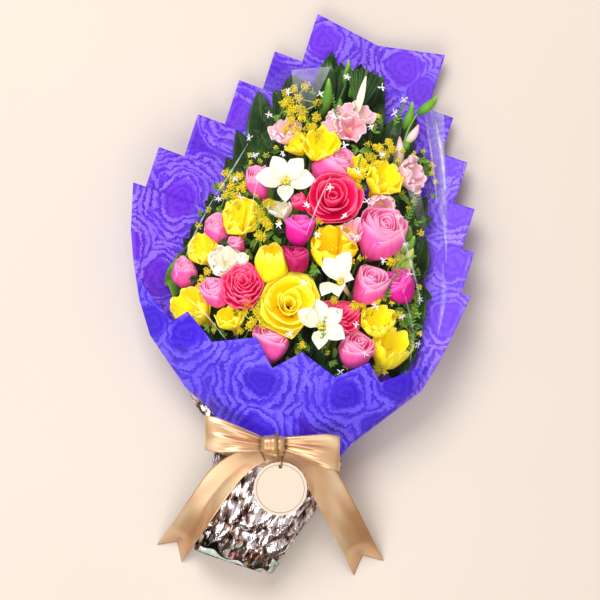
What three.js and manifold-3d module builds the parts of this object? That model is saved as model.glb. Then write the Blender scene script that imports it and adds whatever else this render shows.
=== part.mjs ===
// A hand-tied bunch of mixed flowers in printed paper, a crinkled foil base, a satin bow and a round tag.
// It lies on its back: +X is to the right of the bunch, +Y runs from the stems to the flower tips, +Z is up.
// Millimetres. The origin is the flat spot under the middle of the back paper.
import * as THREE from "three";
import { mergeVertices } from "three/addons/utils/BufferGeometryUtils.js";
import Module from "manifold-3d";

// ---- driving sizes ----
const SCALE = 0.95; // millimetres to one unit of the front picture the places below are read from
const WAIST_PX = [272, 440]; // the tie point in that picture
const LEAN = THREE.MathUtils.degToRad(18); // the bunch leans clockwise in that picture
const MIDLINE_PX = 25; // from the tie point to the paper's centre line
const BACK_Y = 150; // from the tie point up to the origin
const PAPER = 0.8; // thickness of a paper sheet
const PAPER_FOOT = 0.6; // where the papers start, just over the ribbon band
const PAPER_STEP = 2.5; // from one nested sheet to the next
const FILM = 0.7; // thickness of the clear film
const RIBBON = 1.0; // thickness of the satin ribbon
const RIBBON_WIDTH = 34;
const LEAF = 0.9; // thickness of a leaf
const SEAT = 0.3; // gap between touching pieces
const CELL_GAP = 0.2; // what each bloom keeps off the plane it shares with a neighbour
const FULLNESS = 1.26; // blooms press on each other, so each starts larger than it shows
const SOFT_FROM = 0.78; // share of the room a bloom fills before its petals start to bend in

// The paper sheets, back one first: [left x, right x, top y at the left, in the middle, at the right].
const SHEETS = [
  [-61, 68, 402, 391, 402],
  [-89, 94, 355, 352, 347],
  [-113, 120, 318, 314, 310],
  [-140, 140, 274, 270, 269],
  [-165, 152, 232, 228, 229],
  [-177, 161.5, 192, 190, 188],
];
// The outline of the wrap by height over the tie: [y, left x, right x].
const OUTLINE = [
  [0, -34, 88],
  [8, -38, 93],
  [22, -70, 99],
  [59, -117, 124],
  [88, -137, 144],
  [122, -154, 152],
  [148, -165, 156],
  [192, -177, 161.5],
  [420, -177, 161.5],
];
// Height of the paper's side edge and of the front's crown: [y, edge z, crown z].
const PROFILE = [
  [0, 30, 70],
  [22, 36, 76],
  [60, 46, 106],
  [110, 52, 126],
  [190, 50, 126],
  [270, 40, 108],
  [350, 30, 76],
  [420, 28, 50],
];
// The collar's zigzag top, left to right.
const ZIGZAG = [
  [-150, 110],
  [-101, 78],
  [-89, 92],
  [-58, 72],
  [-20, 89],
  [3, 66],
  [25, 89],
  [62, 76],
  [88, 99],
  [104, 84],
  [145, 116],
];
// The film over the flowers: [y, left x, right x].
const FILM_EDGE = [
  [52, -100, 108],
  [99, -130, 130],
  [127, -124, 138],
  [209, -117, 132],
  [304, -102, 96],
  [346, -72, 76],
];
// The foil base: [y, centre x, half width, half depth, centre z].
const FOIL = [
  [-124, 22, 37, 24, 24],
  [-104, 26, 41, 27, 27],
  [-80, 29, 46, 31, 31],
  [-56, 31, 51, 33, 33],
  [-32, 31, 56, 33, 35.6],
  [-4, 29, 63, 33, 36.2],
];

const COLOURS = {
  paper: [0x5b3fe0, 0.55],
  foil: [0xb9b6bc, 0.22, 0.9],
  film: [0xe8ecff, 0.08],
  satin: [0xd9b184, 0.35],
  card: [0xf3e6cd, 0.7],
  cord: [0xb8862b, 0.4],
  stem: [0x4f7a2a, 0.6],
  leaf: [0x1f4a1c, 0.5],
  pink: [0xf06aa6, 0.6],
  crimson: [0xc8124f, 0.6],
  magenta: [0xd81e9a, 0.6],
  yellow: [0xf7d51c, 0.6],
  white: [0xfaf8f0, 0.6],
  blush: [0xf5b9c2, 0.6],
  golden: [0xe8c21a, 0.7],
  lime: [0xa9c23c, 0.6],
};

// Flower heads: [node, kind, colour, [picture x, y], size in picture units, way it faces in the picture
// in degrees clockwise from the picture's up, tilt from facing the viewer, how deep it sits in mm].
const HEADS = [
  ["rose_pink_1", "goblet", "pink", [261, 184], 30, -12, 62, 4],
  ["rose_pink_2", "goblet", "pink", [331, 168], 46, 40, 60, 10],
  ["rose_crimson_1", "rose", "crimson", [332, 200], 52, 10, 14, 2],
  ["rose_crimson_1", "bud", "crimson", [300, 204], 20, -40, 50, 8],
  ["rose_pink_3", "goblet", "pink", [379, 236], 52, 28, 50, 0],
  ["rose_magenta_1", "goblet", "magenta", [300, 232], 32, 4, 72, 3],
  ["rose_crimson_2", "goblet", "crimson", [296, 261], 31, 6, 64, 4],
  ["rose_pink_4", "goblet", "pink", [366, 287], 40, 25, 54, 6],
  ["rose_pink_5", "goblet", "pink", [272, 342], 38, 0, 56, 0],
  ["rose_pink_6", "goblet", "pink", [355, 350], 40, 25, 44, 2],
  ["rose_pink_7", "goblet", "pink", [217, 231], 28, -12, 66, 3],
  ["rose_pink_7", "bud", "pink", [238, 244], 18, -40, 50, 9],
  ["rose_pink_8", "goblet", "pink", [185, 273], 30, -6, 68, 4],
  ["rose_pink_8", "goblet", "pink", [217, 293], 32, -22, 56, 3],
  ["rose_hotpink_1", "rose", "crimson", [245, 287], 44, -10, 25, 0],
  ["rose_hotpink_2", "rose", "crimson", [338, 317], 42, 20, 30, 8],
  ["rose_magenta_2", "goblet", "magenta", [400, 288], 32, -24, 56, 3],
  ["freesia_yellow_1", "trumpet", "yellow", [322, 150], 42, 10, 36, 3],
  ["freesia_yellow_1", "trumpet", "yellow", [299, 147], 28, -50, 50, 8],
  ["freesia_yellow_2", "trumpet", "yellow", [381, 182], 38, 36, 44, 3],
  ["freesia_yellow_2", "trumpet", "yellow", [355, 172], 30, 5, 50, 9],
  ["freesia_yellow_3", "trumpet", "yellow", [241, 220], 40, -5, 36, 2],
  ["freesia_yellow_3", "trumpet", "yellow", [204, 252], 36, -30, 44, 3],
  ["tulip_yellow", "cup", "yellow", [272, 268], 38, 0, 62, 2],
  ["freesia_yellow_4", "trumpet", "yellow", [334, 250], 52, -10, 30, 6],
  ["rose_yellow", "rose", "yellow", [289, 305], 58, 20, 14, 0],
  ["freesia_yellow_5", "trumpet", "yellow", [194, 311], 46, -50, 42, 3],
  ["freesia_yellow_5", "trumpet", "yellow", [232, 319], 30, -20, 45, 7],
  ["freesia_yellow_6", "trumpet", "yellow", [375, 323], 37, 26, 38, 2],
  ["freesia_yellow_6", "trumpet", "yellow", [389, 352], 48, 30, 50, -1],
  ["freesia_white_1", "star", "white", [286, 183], 54, -5, 14, 0],
  ["freesia_white_1", "trumpet", "white", [282, 210], 26, -20, 45, 9],
  ["freesia_white_2", "star", "white", [341, 284], 46, -35, 30, 0],
  ["freesia_white_3", "star", "white", [321, 327], 50, 10, 12, -1],
  ["freesia_white_4", "trumpet", "white", [226, 264], 34, -15, 35, 2],
  ["freesia_white_4", "bud", "white", [243, 262], 15, 10, 50, 8],
  ["freesia_blush_1", "trumpet", "blush", [347, 124], 46, -20, 52, 4],
  ["freesia_blush_1", "trumpet", "blush", [287, 135], 28, -20, 50, 8],
  ["freesia_blush_2", "trumpet", "blush", [408, 175], 32, 80, 66, 4],
  ["freesia_blush_2", "trumpet", "blush", [380, 203], 32, 170, 40, 8],
  ["freesia_blush_3", "trumpet", "blush", [352, 234], 30, 10, 40, 6],
];

// Sprays of small florets or buds: [node, colour, floret size, line of places in the picture, how deep].
const SPRAYS = [
  ["goldenrod_1", "golden", 9, [[311, 128], [303, 113], [318, 104], [298, 98], [306, 86]], 8],
  ["goldenrod_2", "golden", 9, [[372, 158], [384, 154], [377, 148], [388, 143]], 8],
  ["goldenrod_3", "golden", 9, [[238, 204], [228, 194], [242, 188], [233, 178]], 6],
  ["goldenrod_4", "golden", 9, [[262, 238], [268, 226], [261, 214], [268, 204]], 10],
  ["goldenrod_5", "golden", 9, [[256, 309], [266, 297], [245, 312], [253, 321]], 9],
  ["goldenrod_6", "golden", 9, [[362, 305], [371, 299], [381, 296]], 15],
  ["goldenrod_7", "lime", 9, [[408, 352], [411, 336], [404, 322], [413, 308], [416, 296]], 14],
  ["freesia_buds_green", "lime", 12, [[403, 265], [402, 254], [412, 250], [407, 240], [412, 232]], 15],
  ["freesia_buds_pink", "blush", 13, [[399, 152], [402, 134], [412, 138], [411, 118], [426, 104]], 8],
  ["freesia_buds_top", "lime", 12, [[338, 108], [326, 97], [346, 86], [350, 70]], 30],
];

// Leafy stems against the back paper: [node, leaves as [foot, tip in the picture, width]].
const LEAVES = [
  [
    "leaves_top",
    [[256, 190], [236, 128], 30],
    [[276, 176], [258, 88], 38],
    [[298, 170], [288, 74], 38],
    [[322, 168], [332, 48], 36],
    [[346, 166], [362, 60], 42],
    [[360, 170], [384, 74], 32],
  ],
  [
    "leaves_right",
    [[332, 350], [346, 256], 34],
    [[352, 330], [411, 314], 32],
    [[366, 296], [424, 258], 38],
    [[370, 254], [424, 204], 38],
    [[374, 216], [424, 154], 38],
    [[386, 192], [418, 114], 26],
  ],
  [
    "leaves_left",
    [[288, 350], [298, 244], 38],
    [[262, 344], [256, 244], 46],
    [[236, 324], [174, 290], 36],
    [[240, 290], [182, 238], 36],
    [[246, 250], [208, 192], 36],
    [[262, 244], [296, 180], 40],
  ],
];

// ---- helpers ----
const wasm = await Module();
wasm.setup();
const { lerp, degToRad, clamp } = THREE.MathUtils;
const V = (x, y, z) => new THREE.Vector3(x, y, z);

// A repeatable stream of numbers from 0 to 1.
function stream(seed) {
  let state = seed >>> 0;
  return () => {
    state = (Math.imul(state, 1664525) + 1013904223) >>> 0;
    return state / 4294967296;
  };
}

function fromPicture(px, py) {
  const dx = px - WAIST_PX[0];
  const dy = py - WAIST_PX[1];
  const across = Math.cos(LEAN) * dx + Math.sin(LEAN) * dy;
  const along = Math.sin(LEAN) * dx - Math.cos(LEAN) * dy;
  return [SCALE * (across + MIDLINE_PX), SCALE * along];
}

// Reads column `column` of a table whose first column rises, with straight lines between its rows.
function read(table, key, column) {
  if (key <= table[0][0]) return table[0][column];
  for (let i = 1; i < table.length; i++) {
    if (key > table[i][0]) continue;
    const share = (key - table[i - 1][0]) / (table[i][0] - table[i - 1][0]);
    return lerp(table[i - 1][column], table[i][column], share);
  }
  return table[table.length - 1][column];
}

// Place across the wrap, -1 at its left edge to 1 at its right edge.
function across(x, y) {
  const left = read(OUTLINE, y, 1);
  const right = read(OUTLINE, y, 2);
  return clamp((2 * x - left - right) / (right - left), -1, 1);
}

const FLAT_SHARE = 0.13; // the middle of the back lies flat on the ground

// The back trough's height: flat on the ground in the middle, up to the side edges.
function backHeight(x, y) {
  const s = Math.max(0, Math.abs(across(x, y)) - FLAT_SHARE) / (1 - FLAT_SHARE);
  const lift = 16 * Math.max(0, (y - 250) / 150) ** 2;
  return read(PROFILE, y, 1) * s ** 2 + lift;
}

const FULL_WIDTH_Y = 192; // above this the wrap keeps its full width
const STACK = (SHEETS.length - 1) * PAPER_STEP + PAPER;

// Top of the nested sheets at a place.
function stackTop(x, y) {
  let top = 1;
  const s = across(x, y);
  SHEETS.forEach(([left, right, , topMid], i) => {
    const within = s > across(left, FULL_WIDTH_Y) - 0.02 && s < across(right, FULL_WIDTH_Y) + 0.02;
    if (within && y < topMid + 4) top = i + 1;
  });
  return backHeight(x, y) + (top - 1) * PAPER_STEP + PAPER;
}

function frontHeight(x, y) {
  const edge = read(PROFILE, y, 1) + STACK + SEAT + PAPER / 2 + 0.4;
  return edge + (read(PROFILE, y, 2) - edge) * (1 - Math.abs(across(x, y)) ** 2.4);
}

function filmHeight(x, y) {
  const left = read(FILM_EDGE, y, 1);
  const right = read(FILM_EDGE, y, 2);
  const s = clamp((2 * x - left - right) / (right - left), -1, 1);
  const edge = stackTop(s < 0 ? left : right, y) + 2.8 + FILM / 2;
  const crown = read(PROFILE, y, 2) - 5;
  return edge + (crown - edge) * (1 - Math.abs(s) ** 3);
}

// A closed indexed geometry from vertices and triangles.
function closed(points, triangles) {
  const geometry = new THREE.BufferGeometry();
  geometry.setAttribute("position", new THREE.Float32BufferAttribute(points.flatMap((p) => [p.x, p.y, p.z]), 3));
  geometry.setIndex(triangles);
  return geometry;
}

// A sheet of even thickness over a grid: at(u, v) gives its middle. loopU joins its two u ends.
function sheet(at, nu, nv, thickness, loopU = false) {
  const columns = loopU ? nu : nu + 1;
  const mid = [];
  for (let j = 0; j <= nv; j++) for (let i = 0; i < columns; i++) mid.push(at(i / nu, j / nv));
  const id = (i, j) => (loopU ? (i + nu) % nu : clamp(i, 0, nu)) + columns * clamp(j, 0, nv);
  const upper = [];
  const lower = [];
  for (let j = 0; j <= nv; j++) {
    for (let i = 0; i < columns; i++) {
      const du = mid[id(i + 1, j)].clone().sub(mid[id(i - 1, j)]);
      const dv = mid[id(i, j + 1)].clone().sub(mid[id(i, j - 1)]);
      const normal = du.cross(dv).normalize().multiplyScalar(thickness / 2);
      upper.push(mid[id(i, j)].clone().add(normal));
      lower.push(mid[id(i, j)].clone().sub(normal));
    }
  }
  const n = upper.length;
  const triangles = [];
  const quad = (a, b, c, d) => triangles.push(a, b, c, a, c, d);
  for (let j = 0; j < nv; j++) {
    for (let i = 0; i < nu; i++) {
      const [a, b, c, d] = [id(i, j), id(i + 1, j), id(i + 1, j + 1), id(i, j + 1)];
      quad(a, b, c, d);
      triangles.push(n + a, n + c, n + b, n + a, n + d, n + c);
    }
  }
  for (let i = 0; i < nu; i++) {
    quad(id(i + 1, 0), id(i, 0), n + id(i, 0), n + id(i + 1, 0));
    quad(id(i, nv), id(i + 1, nv), n + id(i + 1, nv), n + id(i, nv));
  }
  if (!loopU) {
    for (let j = 0; j < nv; j++) {
      quad(id(0, j), id(0, j + 1), n + id(0, j + 1), n + id(0, j));
      quad(id(nu, j + 1), id(nu, j), n + id(nu, j), n + id(nu, j + 1));
    }
  }
  return closed([...upper, ...lower], triangles);
}

// A closed body of rings of points, with a fan over each end.
function rings(list, first, last) {
  const n = list[0].length;
  const points = [first, ...list.flat(), last];
  const triangles = [];
  for (let i = 0; i < n; i++) {
    const next = (i + 1) % n;
    triangles.push(0, 1 + next, 1 + i);
    for (let j = 0; j + 1 < list.length; j++) {
      const a = 1 + j * n;
      const b = a + n;
      triangles.push(a + i, a + next, b + next, a + i, b + next, b + i);
    }
    const top = 1 + (list.length - 1) * n;
    triangles.push(top + i, top + next, points.length - 1);
  }
  return closed(points, triangles);
}

// A tapered round stalk along a line of points.
function stalk(points, radii, sides) {
  const curve = new THREE.CatmullRomCurve3(points);
  const steps = radii.length - 1;
  const list = [];
  const side = V(1, 0, 0.13).normalize();
  for (let j = 0; j <= steps; j++) {
    const t = j / steps;
    const way = curve.getTangent(t);
    const e1 = side.clone().addScaledVector(way, -side.dot(way)).normalize();
    const e2 = way.clone().cross(e1);
    const middle = curve.getPoint(t);
    list.push(
      Array.from({ length: sides }, (_, i) => {
        const a = (2 * Math.PI * i) / sides;
        return middle
          .clone()
          .addScaledVector(e1, radii[j] * Math.cos(a))
          .addScaledVector(e2, radii[j] * Math.sin(a));
      }),
    );
  }
  return rings(list, curve.getPoint(0), curve.getPoint(1));
}

function solid(geometry) {
  const plain = geometry.clone();
  plain.deleteAttribute("normal");
  plain.deleteAttribute("uv");
  const merged = mergeVertices(plain, 1e-4);
  return new wasm.Manifold(
    new wasm.Mesh({
      numProp: 3,
      vertProperties: merged.attributes.position.array,
      triVerts: new Uint32Array(merged.index.array),
    }),
  );
}

const SLIVER = 0.02; // edges and faces thinner than this are merged away

// The largest body of a solid, as a geometry.
function largest(body) {
  const parts = body.decompose().sort((a, b) => b.volume() - a.volume());
  const mesh = parts[0].asOriginal().simplify(SLIVER).getMesh();
  const geometry = new THREE.BufferGeometry();
  geometry.setAttribute("position", new THREE.BufferAttribute(new Float32Array(mesh.vertProperties), 3));
  geometry.setIndex(new THREE.BufferAttribute(new Uint32Array(mesh.triVerts), 1));
  return geometry;
}

const join = (geometries) => largest(geometries.map(solid).reduce((a, b) => a.add(b)));

const bouquet = new THREE.Group();
bouquet.name = "flower_bouquet";

function add(name, geometry, look) {
  const [color, roughness, metalness = 0] = COLOURS[look];
  const material = new THREE.MeshStandardMaterial({ color, roughness, metalness });
  const mesh = new THREE.Mesh(geometry.translate(0, -BACK_Y, 0), material);
  mesh.name = name;
  bouquet.add(mesh);
}

// ---- paper ----
const SHEET_COLUMNS = 8;
const SHEET_ROWS = [PAPER_FOOT, 8, 22, 59, 88, 122, 192, 230, 270, 310, 350];
SHEETS.forEach(([left, right, topLeft, topMid, topRight], k) => {
  const rows = SHEET_ROWS.filter((y) => y < Math.min(topLeft, topMid, topRight) - 15);
  const at = (u, v) => {
    const row = Math.round(v * rows.length);
    const top = u < 0.5 ? lerp(topLeft, topMid, 2 * u) : lerp(topMid, topRight, 2 * u - 1);
    const y = row < rows.length ? rows[row] : top;
    const s = lerp(across(left, FULL_WIDTH_Y), across(right, FULL_WIDTH_Y), u);
    const x = lerp(read(OUTLINE, y, 1), read(OUTLINE, y, 2), (s + 1) / 2);
    return V(x, y, backHeight(x, y) + k * PAPER_STEP + PAPER / 2);
  };
  add("paper_sheet_" + (k + 1), sheet(at, SHEET_COLUMNS, rows.length, PAPER), "paper");
});

// The front collar is folded into pleats, each with a corner standing up.
const COLLAR_COLUMNS = 20;
const collarTop = (u) => {
  const place = u * (ZIGZAG.length - 1);
  const i = Math.min(Math.floor(place), ZIGZAG.length - 2);
  return [0, 1].map((c) => lerp(ZIGZAG[i][c], ZIGZAG[i + 1][c], place - i));
};
add(
  "paper_collar",
  sheet(
    (u, v) => {
      const [topX, topY] = collarTop(u);
      const y = lerp(PAPER_FOOT, topY, v);
      const share = across(topX, topY);
      const x = lerp(read(OUTLINE, y, 1), read(OUTLINE, y, 2), (share + 1) / 2);
      const pleat = 1.6 * (1 - Math.abs(share)) * Math.cos(u * (ZIGZAG.length - 1) * Math.PI) * v;
      return V(x, y, frontHeight(x, y) - pleat);
    },
    COLLAR_COLUMNS,
    5,
    PAPER,
  ),
  "paper",
);

// ---- clear film over the flowers, tucked behind the collar ----
const FILM_ROWS = [52, 74, 99, 127, 168, 209, 256, 304, 346];
add(
  "clear_film",
  sheet(
    (u, v) => {
      const y = FILM_ROWS[Math.round(v * (FILM_ROWS.length - 1))];
      const x = lerp(read(FILM_EDGE, y, 1), read(FILM_EDGE, y, 2), 0.5 - 0.5 * Math.cos(Math.PI * u));
      return V(x, y, filmHeight(x, y));
    },
    14,
    FILM_ROWS.length - 1,
    FILM,
  ),
  "film",
);

// ---- foil base: an open crinkled cup round the stem ends, flat where it lies ----
const FOIL_SIDES = 20;
const FOIL_WALL = 2.4;
function foilRing(y, inset, noise) {
  const [x, a, b, z] = [1, 2, 3, 4].map((c) => read(FOIL, y, c));
  return Array.from({ length: FOIL_SIDES }, (_, i) => {
    const turn = (2 * Math.PI * i) / FOIL_SIDES;
    const round = (c) => Math.sign(c) * Math.abs(c) ** 0.8;
    const grow = inset ? 0 : noise * (i % 2 ? 1 : -1);
    const px = x + (a - inset + grow) * round(Math.cos(turn));
    const pz = z + (b - inset + grow) * round(Math.sin(turn));
    return V(px, y, Math.max(inset ? inset : 0, pz));
  });
}
const foilOuter = [-124, -114, -100, -86, -72, -58, -44, -31].map((y, j) => foilRing(y, 0, j % 2 ? 1.3 : -1.3));
const foilInner = [-4, -60, -118].map((y) => foilRing(y, FOIL_WALL, 0));
const [foilX, , foilDepth] = [1, 2, 3].map((c) => read(FOIL, -124, c));
add(
  "foil_wrap",
  rings(
    [...foilOuter, foilRing(-4, 0, 0), ...foilInner].map((ring) => ring.reverse()),
    V(foilX, -124, foilDepth),
    V(foilX, -118, foilDepth),
  ),
  "foil",
);

// ---- satin ribbon: a band round the waist, two loops, a knot and two tails ----
const BAND_Y = -13.5;
const BAND_HALF = 13.5;
const BAND_OUT = 1.9; // from the foil's mean surface to the middle of the ribbon
function waistPoint(turn, out, y) {
  const [x, a, b, z] = [1, 2, 3, 4].map((c) => read(FOIL, Math.min(y, -4), c));
  const round = (c) => Math.sign(c) * Math.abs(c) ** 0.8;
  return V(x + (a + out) * round(Math.cos(turn)), y, z + (b + out) * round(Math.sin(turn)));
}
add(
  "ribbon_band",
  sheet(
    (u, v) => {
      const p = waistPoint(-2 * Math.PI * u, BAND_OUT, BAND_Y + BAND_HALF * (2 * v - 1));
      p.z = Math.max(p.z, RIBBON / 2);
      return p;
    },
    24,
    1,
    RIBBON,
    true,
  ),
  "satin",
);

// Height of the foil's or the ribbon band's upper face.
function foilTop(x, y, out) {
  const [cx, a, b, cz] = [1, 2, 3, 4].map((c) => read(FOIL, clamp(y, -124, -4), c));
  const s = clamp(Math.abs((x - cx) / (a + out)), 0, 1);
  return cz + (b + out) * (1 - s ** 2.5) ** 0.4;
}
const KNOT = [...fromPicture(273, 443), foilTop(24, BAND_Y, BAND_OUT + RIBBON) + SEAT];
const BOW_WAY = [Math.cos(LEAN), Math.sin(LEAN)]; // the bow is level in the picture
function bowPoint(along, up, z) {
  return V(
    KNOT[0] + BOW_WAY[0] * along - BOW_WAY[1] * up,
    KNOT[1] + BOW_WAY[1] * along + BOW_WAY[0] * up,
    z,
  );
}

// A loop goes out over the top, turns at its end and comes back underneath.
const LOOP_INNER = 12;
const LOOP_LOW = 2.2;
const LOOP_HIGH = 20;
function bowLoop(side, reach, drop) {
  return sheet(
    (u, v) => {
      const turn = u * Math.PI;
      const out = Math.sin(turn) ** 0.75;
      const along = side * (LOOP_INNER + (reach - LOOP_INNER) * out);
      const half = lerp(7.5, RIBBON_WIDTH / 2 - 0.5, Math.min(1, 1.3 * out));
      const up = side * (2 * v - 1) * half + drop * out;
      const middle = (LOOP_HIGH + LOOP_LOW) / 2;
      const swell = ((LOOP_HIGH - LOOP_LOW) / 2) * lerp(0.35, 1, out ** 0.5);
      return bowPoint(along, up, KNOT[2] + middle + swell * Math.cos(turn));
    },
    14,
    2,
    RIBBON,
  );
}
add("bow_loop_left", bowLoop(-1, 64, 11), "satin");
add("bow_loop_right", bowLoop(1, 63, -9), "satin");

// The knot is a short wrap of ribbon, pinched at both ends.
const KNOT_HALF = [11.5, 8.6, 10.6];
const KNOT_BASE = KNOT[2] + 2.4; // the tag's cord passes under it
const KNOT_MID = KNOT_BASE + KNOT_HALF[2];
const KNOT_STEPS = [
  [-1, 0.55],
  [-0.75, 0.92],
  [0, 1],
  [0.75, 0.92],
  [1, 0.55],
];
add(
  "bow_knot",
  rings(
    KNOT_STEPS.map(([step, fat]) =>
      Array.from({ length: 12 }, (_, i) => {
        const turn = (2 * Math.PI * i) / 12;
        const round = (c) => Math.sign(c) * Math.abs(c) ** 0.75;
        return bowPoint(
          KNOT_HALF[0] * step,
          -KNOT_HALF[1] * fat * round(Math.cos(turn)),
          KNOT_MID + KNOT_HALF[2] * fat * round(Math.sin(turn)),
        );
      }).reverse(),
    ),
    bowPoint(-KNOT_HALF[0], 0, KNOT_MID),
    bowPoint(KNOT_HALF[0], 0, KNOT_MID),
  ),
  "satin",
);

// A tail runs from under the knot over the foil and down to the ground, with a notch cut in its end.
// Its line is read in the picture, and half is half its width as it hangs.
const TAIL_NOTCH = 13.5;
const TAIL_OVER_FOIL = 4.1;
const TAIL_OVER_BAND = 5.3;
const TAILS = {
  left: {
    line: [[262, 452], [243, 461], [222, 479], [196, 516], [167, 558]],
    half: 14.5,
  },
  right: {
    line: [[284, 453], [302, 461], [319, 474], [346, 524], [370, 573]],
    half: 16,
  },
};
function tail({ line, half: fullHalf }) {
  const flat = line.map(([px, py]) => fromPicture(px, py));
  const curve = new THREE.CatmullRomCurve3(flat.map(([x, y]) => V(x, y, 0)));
  const steps = 12;
  return sheet(
    (u, v) => {
      const half = lerp(9, fullHalf, Math.min(1, 3 * u));
      const w = 2 * v - 1;
      const at = Math.min(u, 1);
      const p = curve.getPoint(at);
      const way = curve.getTangent(at);
      const end = u > 1 - 0.5 / steps ? -TAIL_NOTCH * (1 - Math.abs(w)) : 0;
      const x = p.x - way.y * half * w + way.x * end;
      const y = p.y + way.x * half * w + way.y * end;
      const [cx, a] = [1, 2].map((c) => read(FOIL, clamp(y, -124, -4), c));
      const over = y > BAND_Y - BAND_HALF - 5 ? TAIL_OVER_BAND : TAIL_OVER_FOIL;
      const lying = Math.abs(x - cx) < a + 5 && y > -126 ? foilTop(x, y, 2) + over : 0;
      const hanging = RIBBON / 2 + 0.2 + (KNOT[2] + 1) * (1 - u ** 1.9);
      return V(x, y, Math.max(lying, hanging));
    },
    steps,
    2,
    RIBBON,
  );
}
add("ribbon_tail_left", tail(TAILS.left), "satin");
add("ribbon_tail_right", tail(TAILS.right), "satin");

// ---- round tag and its cord ----
const TAG_AT = fromPicture(280.5, 487.5);
const TAG_HOLE = fromPicture(280.5, 465.5);
const TAG_RADIUS = 25.5;
const TAG_THICK = 1.2;
const TAG_Z = 80.5;
const TAG_HOLE_RADIUS = 1.9;
const disc = new THREE.Shape().absarc(0, 0, TAG_RADIUS, 0, 2 * Math.PI);
disc.holes.push(new THREE.Path().absarc(TAG_HOLE[0] - TAG_AT[0], TAG_HOLE[1] - TAG_AT[1], TAG_HOLE_RADIUS, 0, 2 * Math.PI, true));
const card = new THREE.ExtrudeGeometry(disc, { depth: TAG_THICK, bevelEnabled: false, curveSegments: 10 });
card.translate(TAG_AT[0], TAG_AT[1], TAG_Z);
add("tag", card, "card");

const CORD = 0.8; // radius of the gold cord
const cordRound = [
  // [along the bow, up it, height over the knot's middle], over the knot, behind it and back below
  [5, -10.4, 9.5],
  [4.5, 0, KNOT_HALF[2] + 1.6],
  [4, 10.2, 8],
  [3.6, 10.6, -3],
  [3.4, 7.5, -9.6],
  [3.2, 0, -KNOT_HALF[2] - 1.55],
  [3.4, -8, -9.6],
];
const [holeX, holeY] = TAG_HOLE;
const cordLine = [
  ...cordRound.map(([along, up, z]) => bowPoint(along, up, KNOT_MID + z)),
  V(holeX + 0.2, holeY + 4.5, TAG_Z - 2.2),
  V(holeX, holeY, TAG_Z + TAG_THICK / 2),
  V(holeX - 0.2, holeY + 4.5, TAG_Z + TAG_THICK + 3),
];
add("tag_cord", new THREE.TubeGeometry(new THREE.CatmullRomCurve3(cordLine, true), 34, CORD, 3, true), "cord");

// ---- room for each bloom: a cell bounded by flat planes halfway to its neighbours ----
const BLOOM_FLOOR = 7.5; // blooms keep this far above the papers, where the backing leaves lie
const FILM_CLEAR = 3.9;

function headPlace([node, kind, look, [px, py], size, facing, tilt, deep], index) {
  const [x, y] = fromPicture(px, py);
  const radius = (FULLNESS * SCALE * size) / 2;
  const turn = degToRad(facing) - LEAN;
  const lean = degToRad(tilt);
  const way = V(Math.sin(turn) * Math.sin(lean), Math.cos(turn) * Math.sin(lean), Math.cos(lean));
  const z = filmHeight(x, y) - 4 - 0.6 * radius - deep;
  const e1 = V(1, 0, 0).addScaledVector(way, -way.x).normalize();
  const e2 = way.clone().cross(e1);
  return { node, kind, look, radius, way, e1, e2, spin: 0.7 * index, centre: V(x, y, z) };
}

function sprayPlaces([node, look, size, line, deep]) {
  return line.map(([px, py]) => {
    const [x, y] = fromPicture(px, py);
    return { node, look, radius: (SCALE * size) / 2, centre: V(x, y, filmHeight(x, y) - 7 - deep) };
  });
}

const heads = HEADS.map(headPlace);
const sprays = SPRAYS.map(sprayPlaces);
const sites = [...heads, ...sprays.flat()];

// Share of the way from a head's centre to a point at which its room ends, for a ray to that point.
function roomAlong(head, ray) {
  let room = 4;
  for (const other of sites) {
    if (other === head) continue;
    const gap = other.centre.clone().sub(head.centre);
    const distance = gap.length();
    const facing = ray.dot(gap) / distance;
    if (facing <= 0) continue;
    const own = (distance ** 2 + head.radius ** 2 - other.radius ** 2) / (2 * distance);
    const plane = Math.max(own, 0.25 * distance) - CELL_GAP;
    room = Math.min(room, plane / facing);
  }
  const free = (t) => {
    const p = head.centre.clone().addScaledVector(ray, t);
    return p.z < filmHeight(p.x, p.y) - FILM_CLEAR && p.z > stackTop(p.x, p.y) + BLOOM_FLOOR;
  };
  let low = 0;
  let high = room;
  if (free(high)) return high;
  for (let i = 0; i < 12; i++) {
    const middle = (low + high) / 2;
    if (free(middle)) low = middle;
    else high = middle;
  }
  return low;
}

// Bends a point of a head in softly, so that it stays inside its room.
function bend(head, point) {
  const ray = point.clone().sub(head.centre);
  if (ray.length() < 1e-6) return point;
  const room = roomAlong(head, ray);
  const filled = 1 / room;
  if (filled <= SOFT_FROM) return point;
  const rest = 1 - SOFT_FROM;
  const kept = SOFT_FROM + rest * (1 - Math.exp(-(filled - SOFT_FROM) / rest));
  return head.centre.clone().addScaledVector(ray, kept * room);
}

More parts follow.
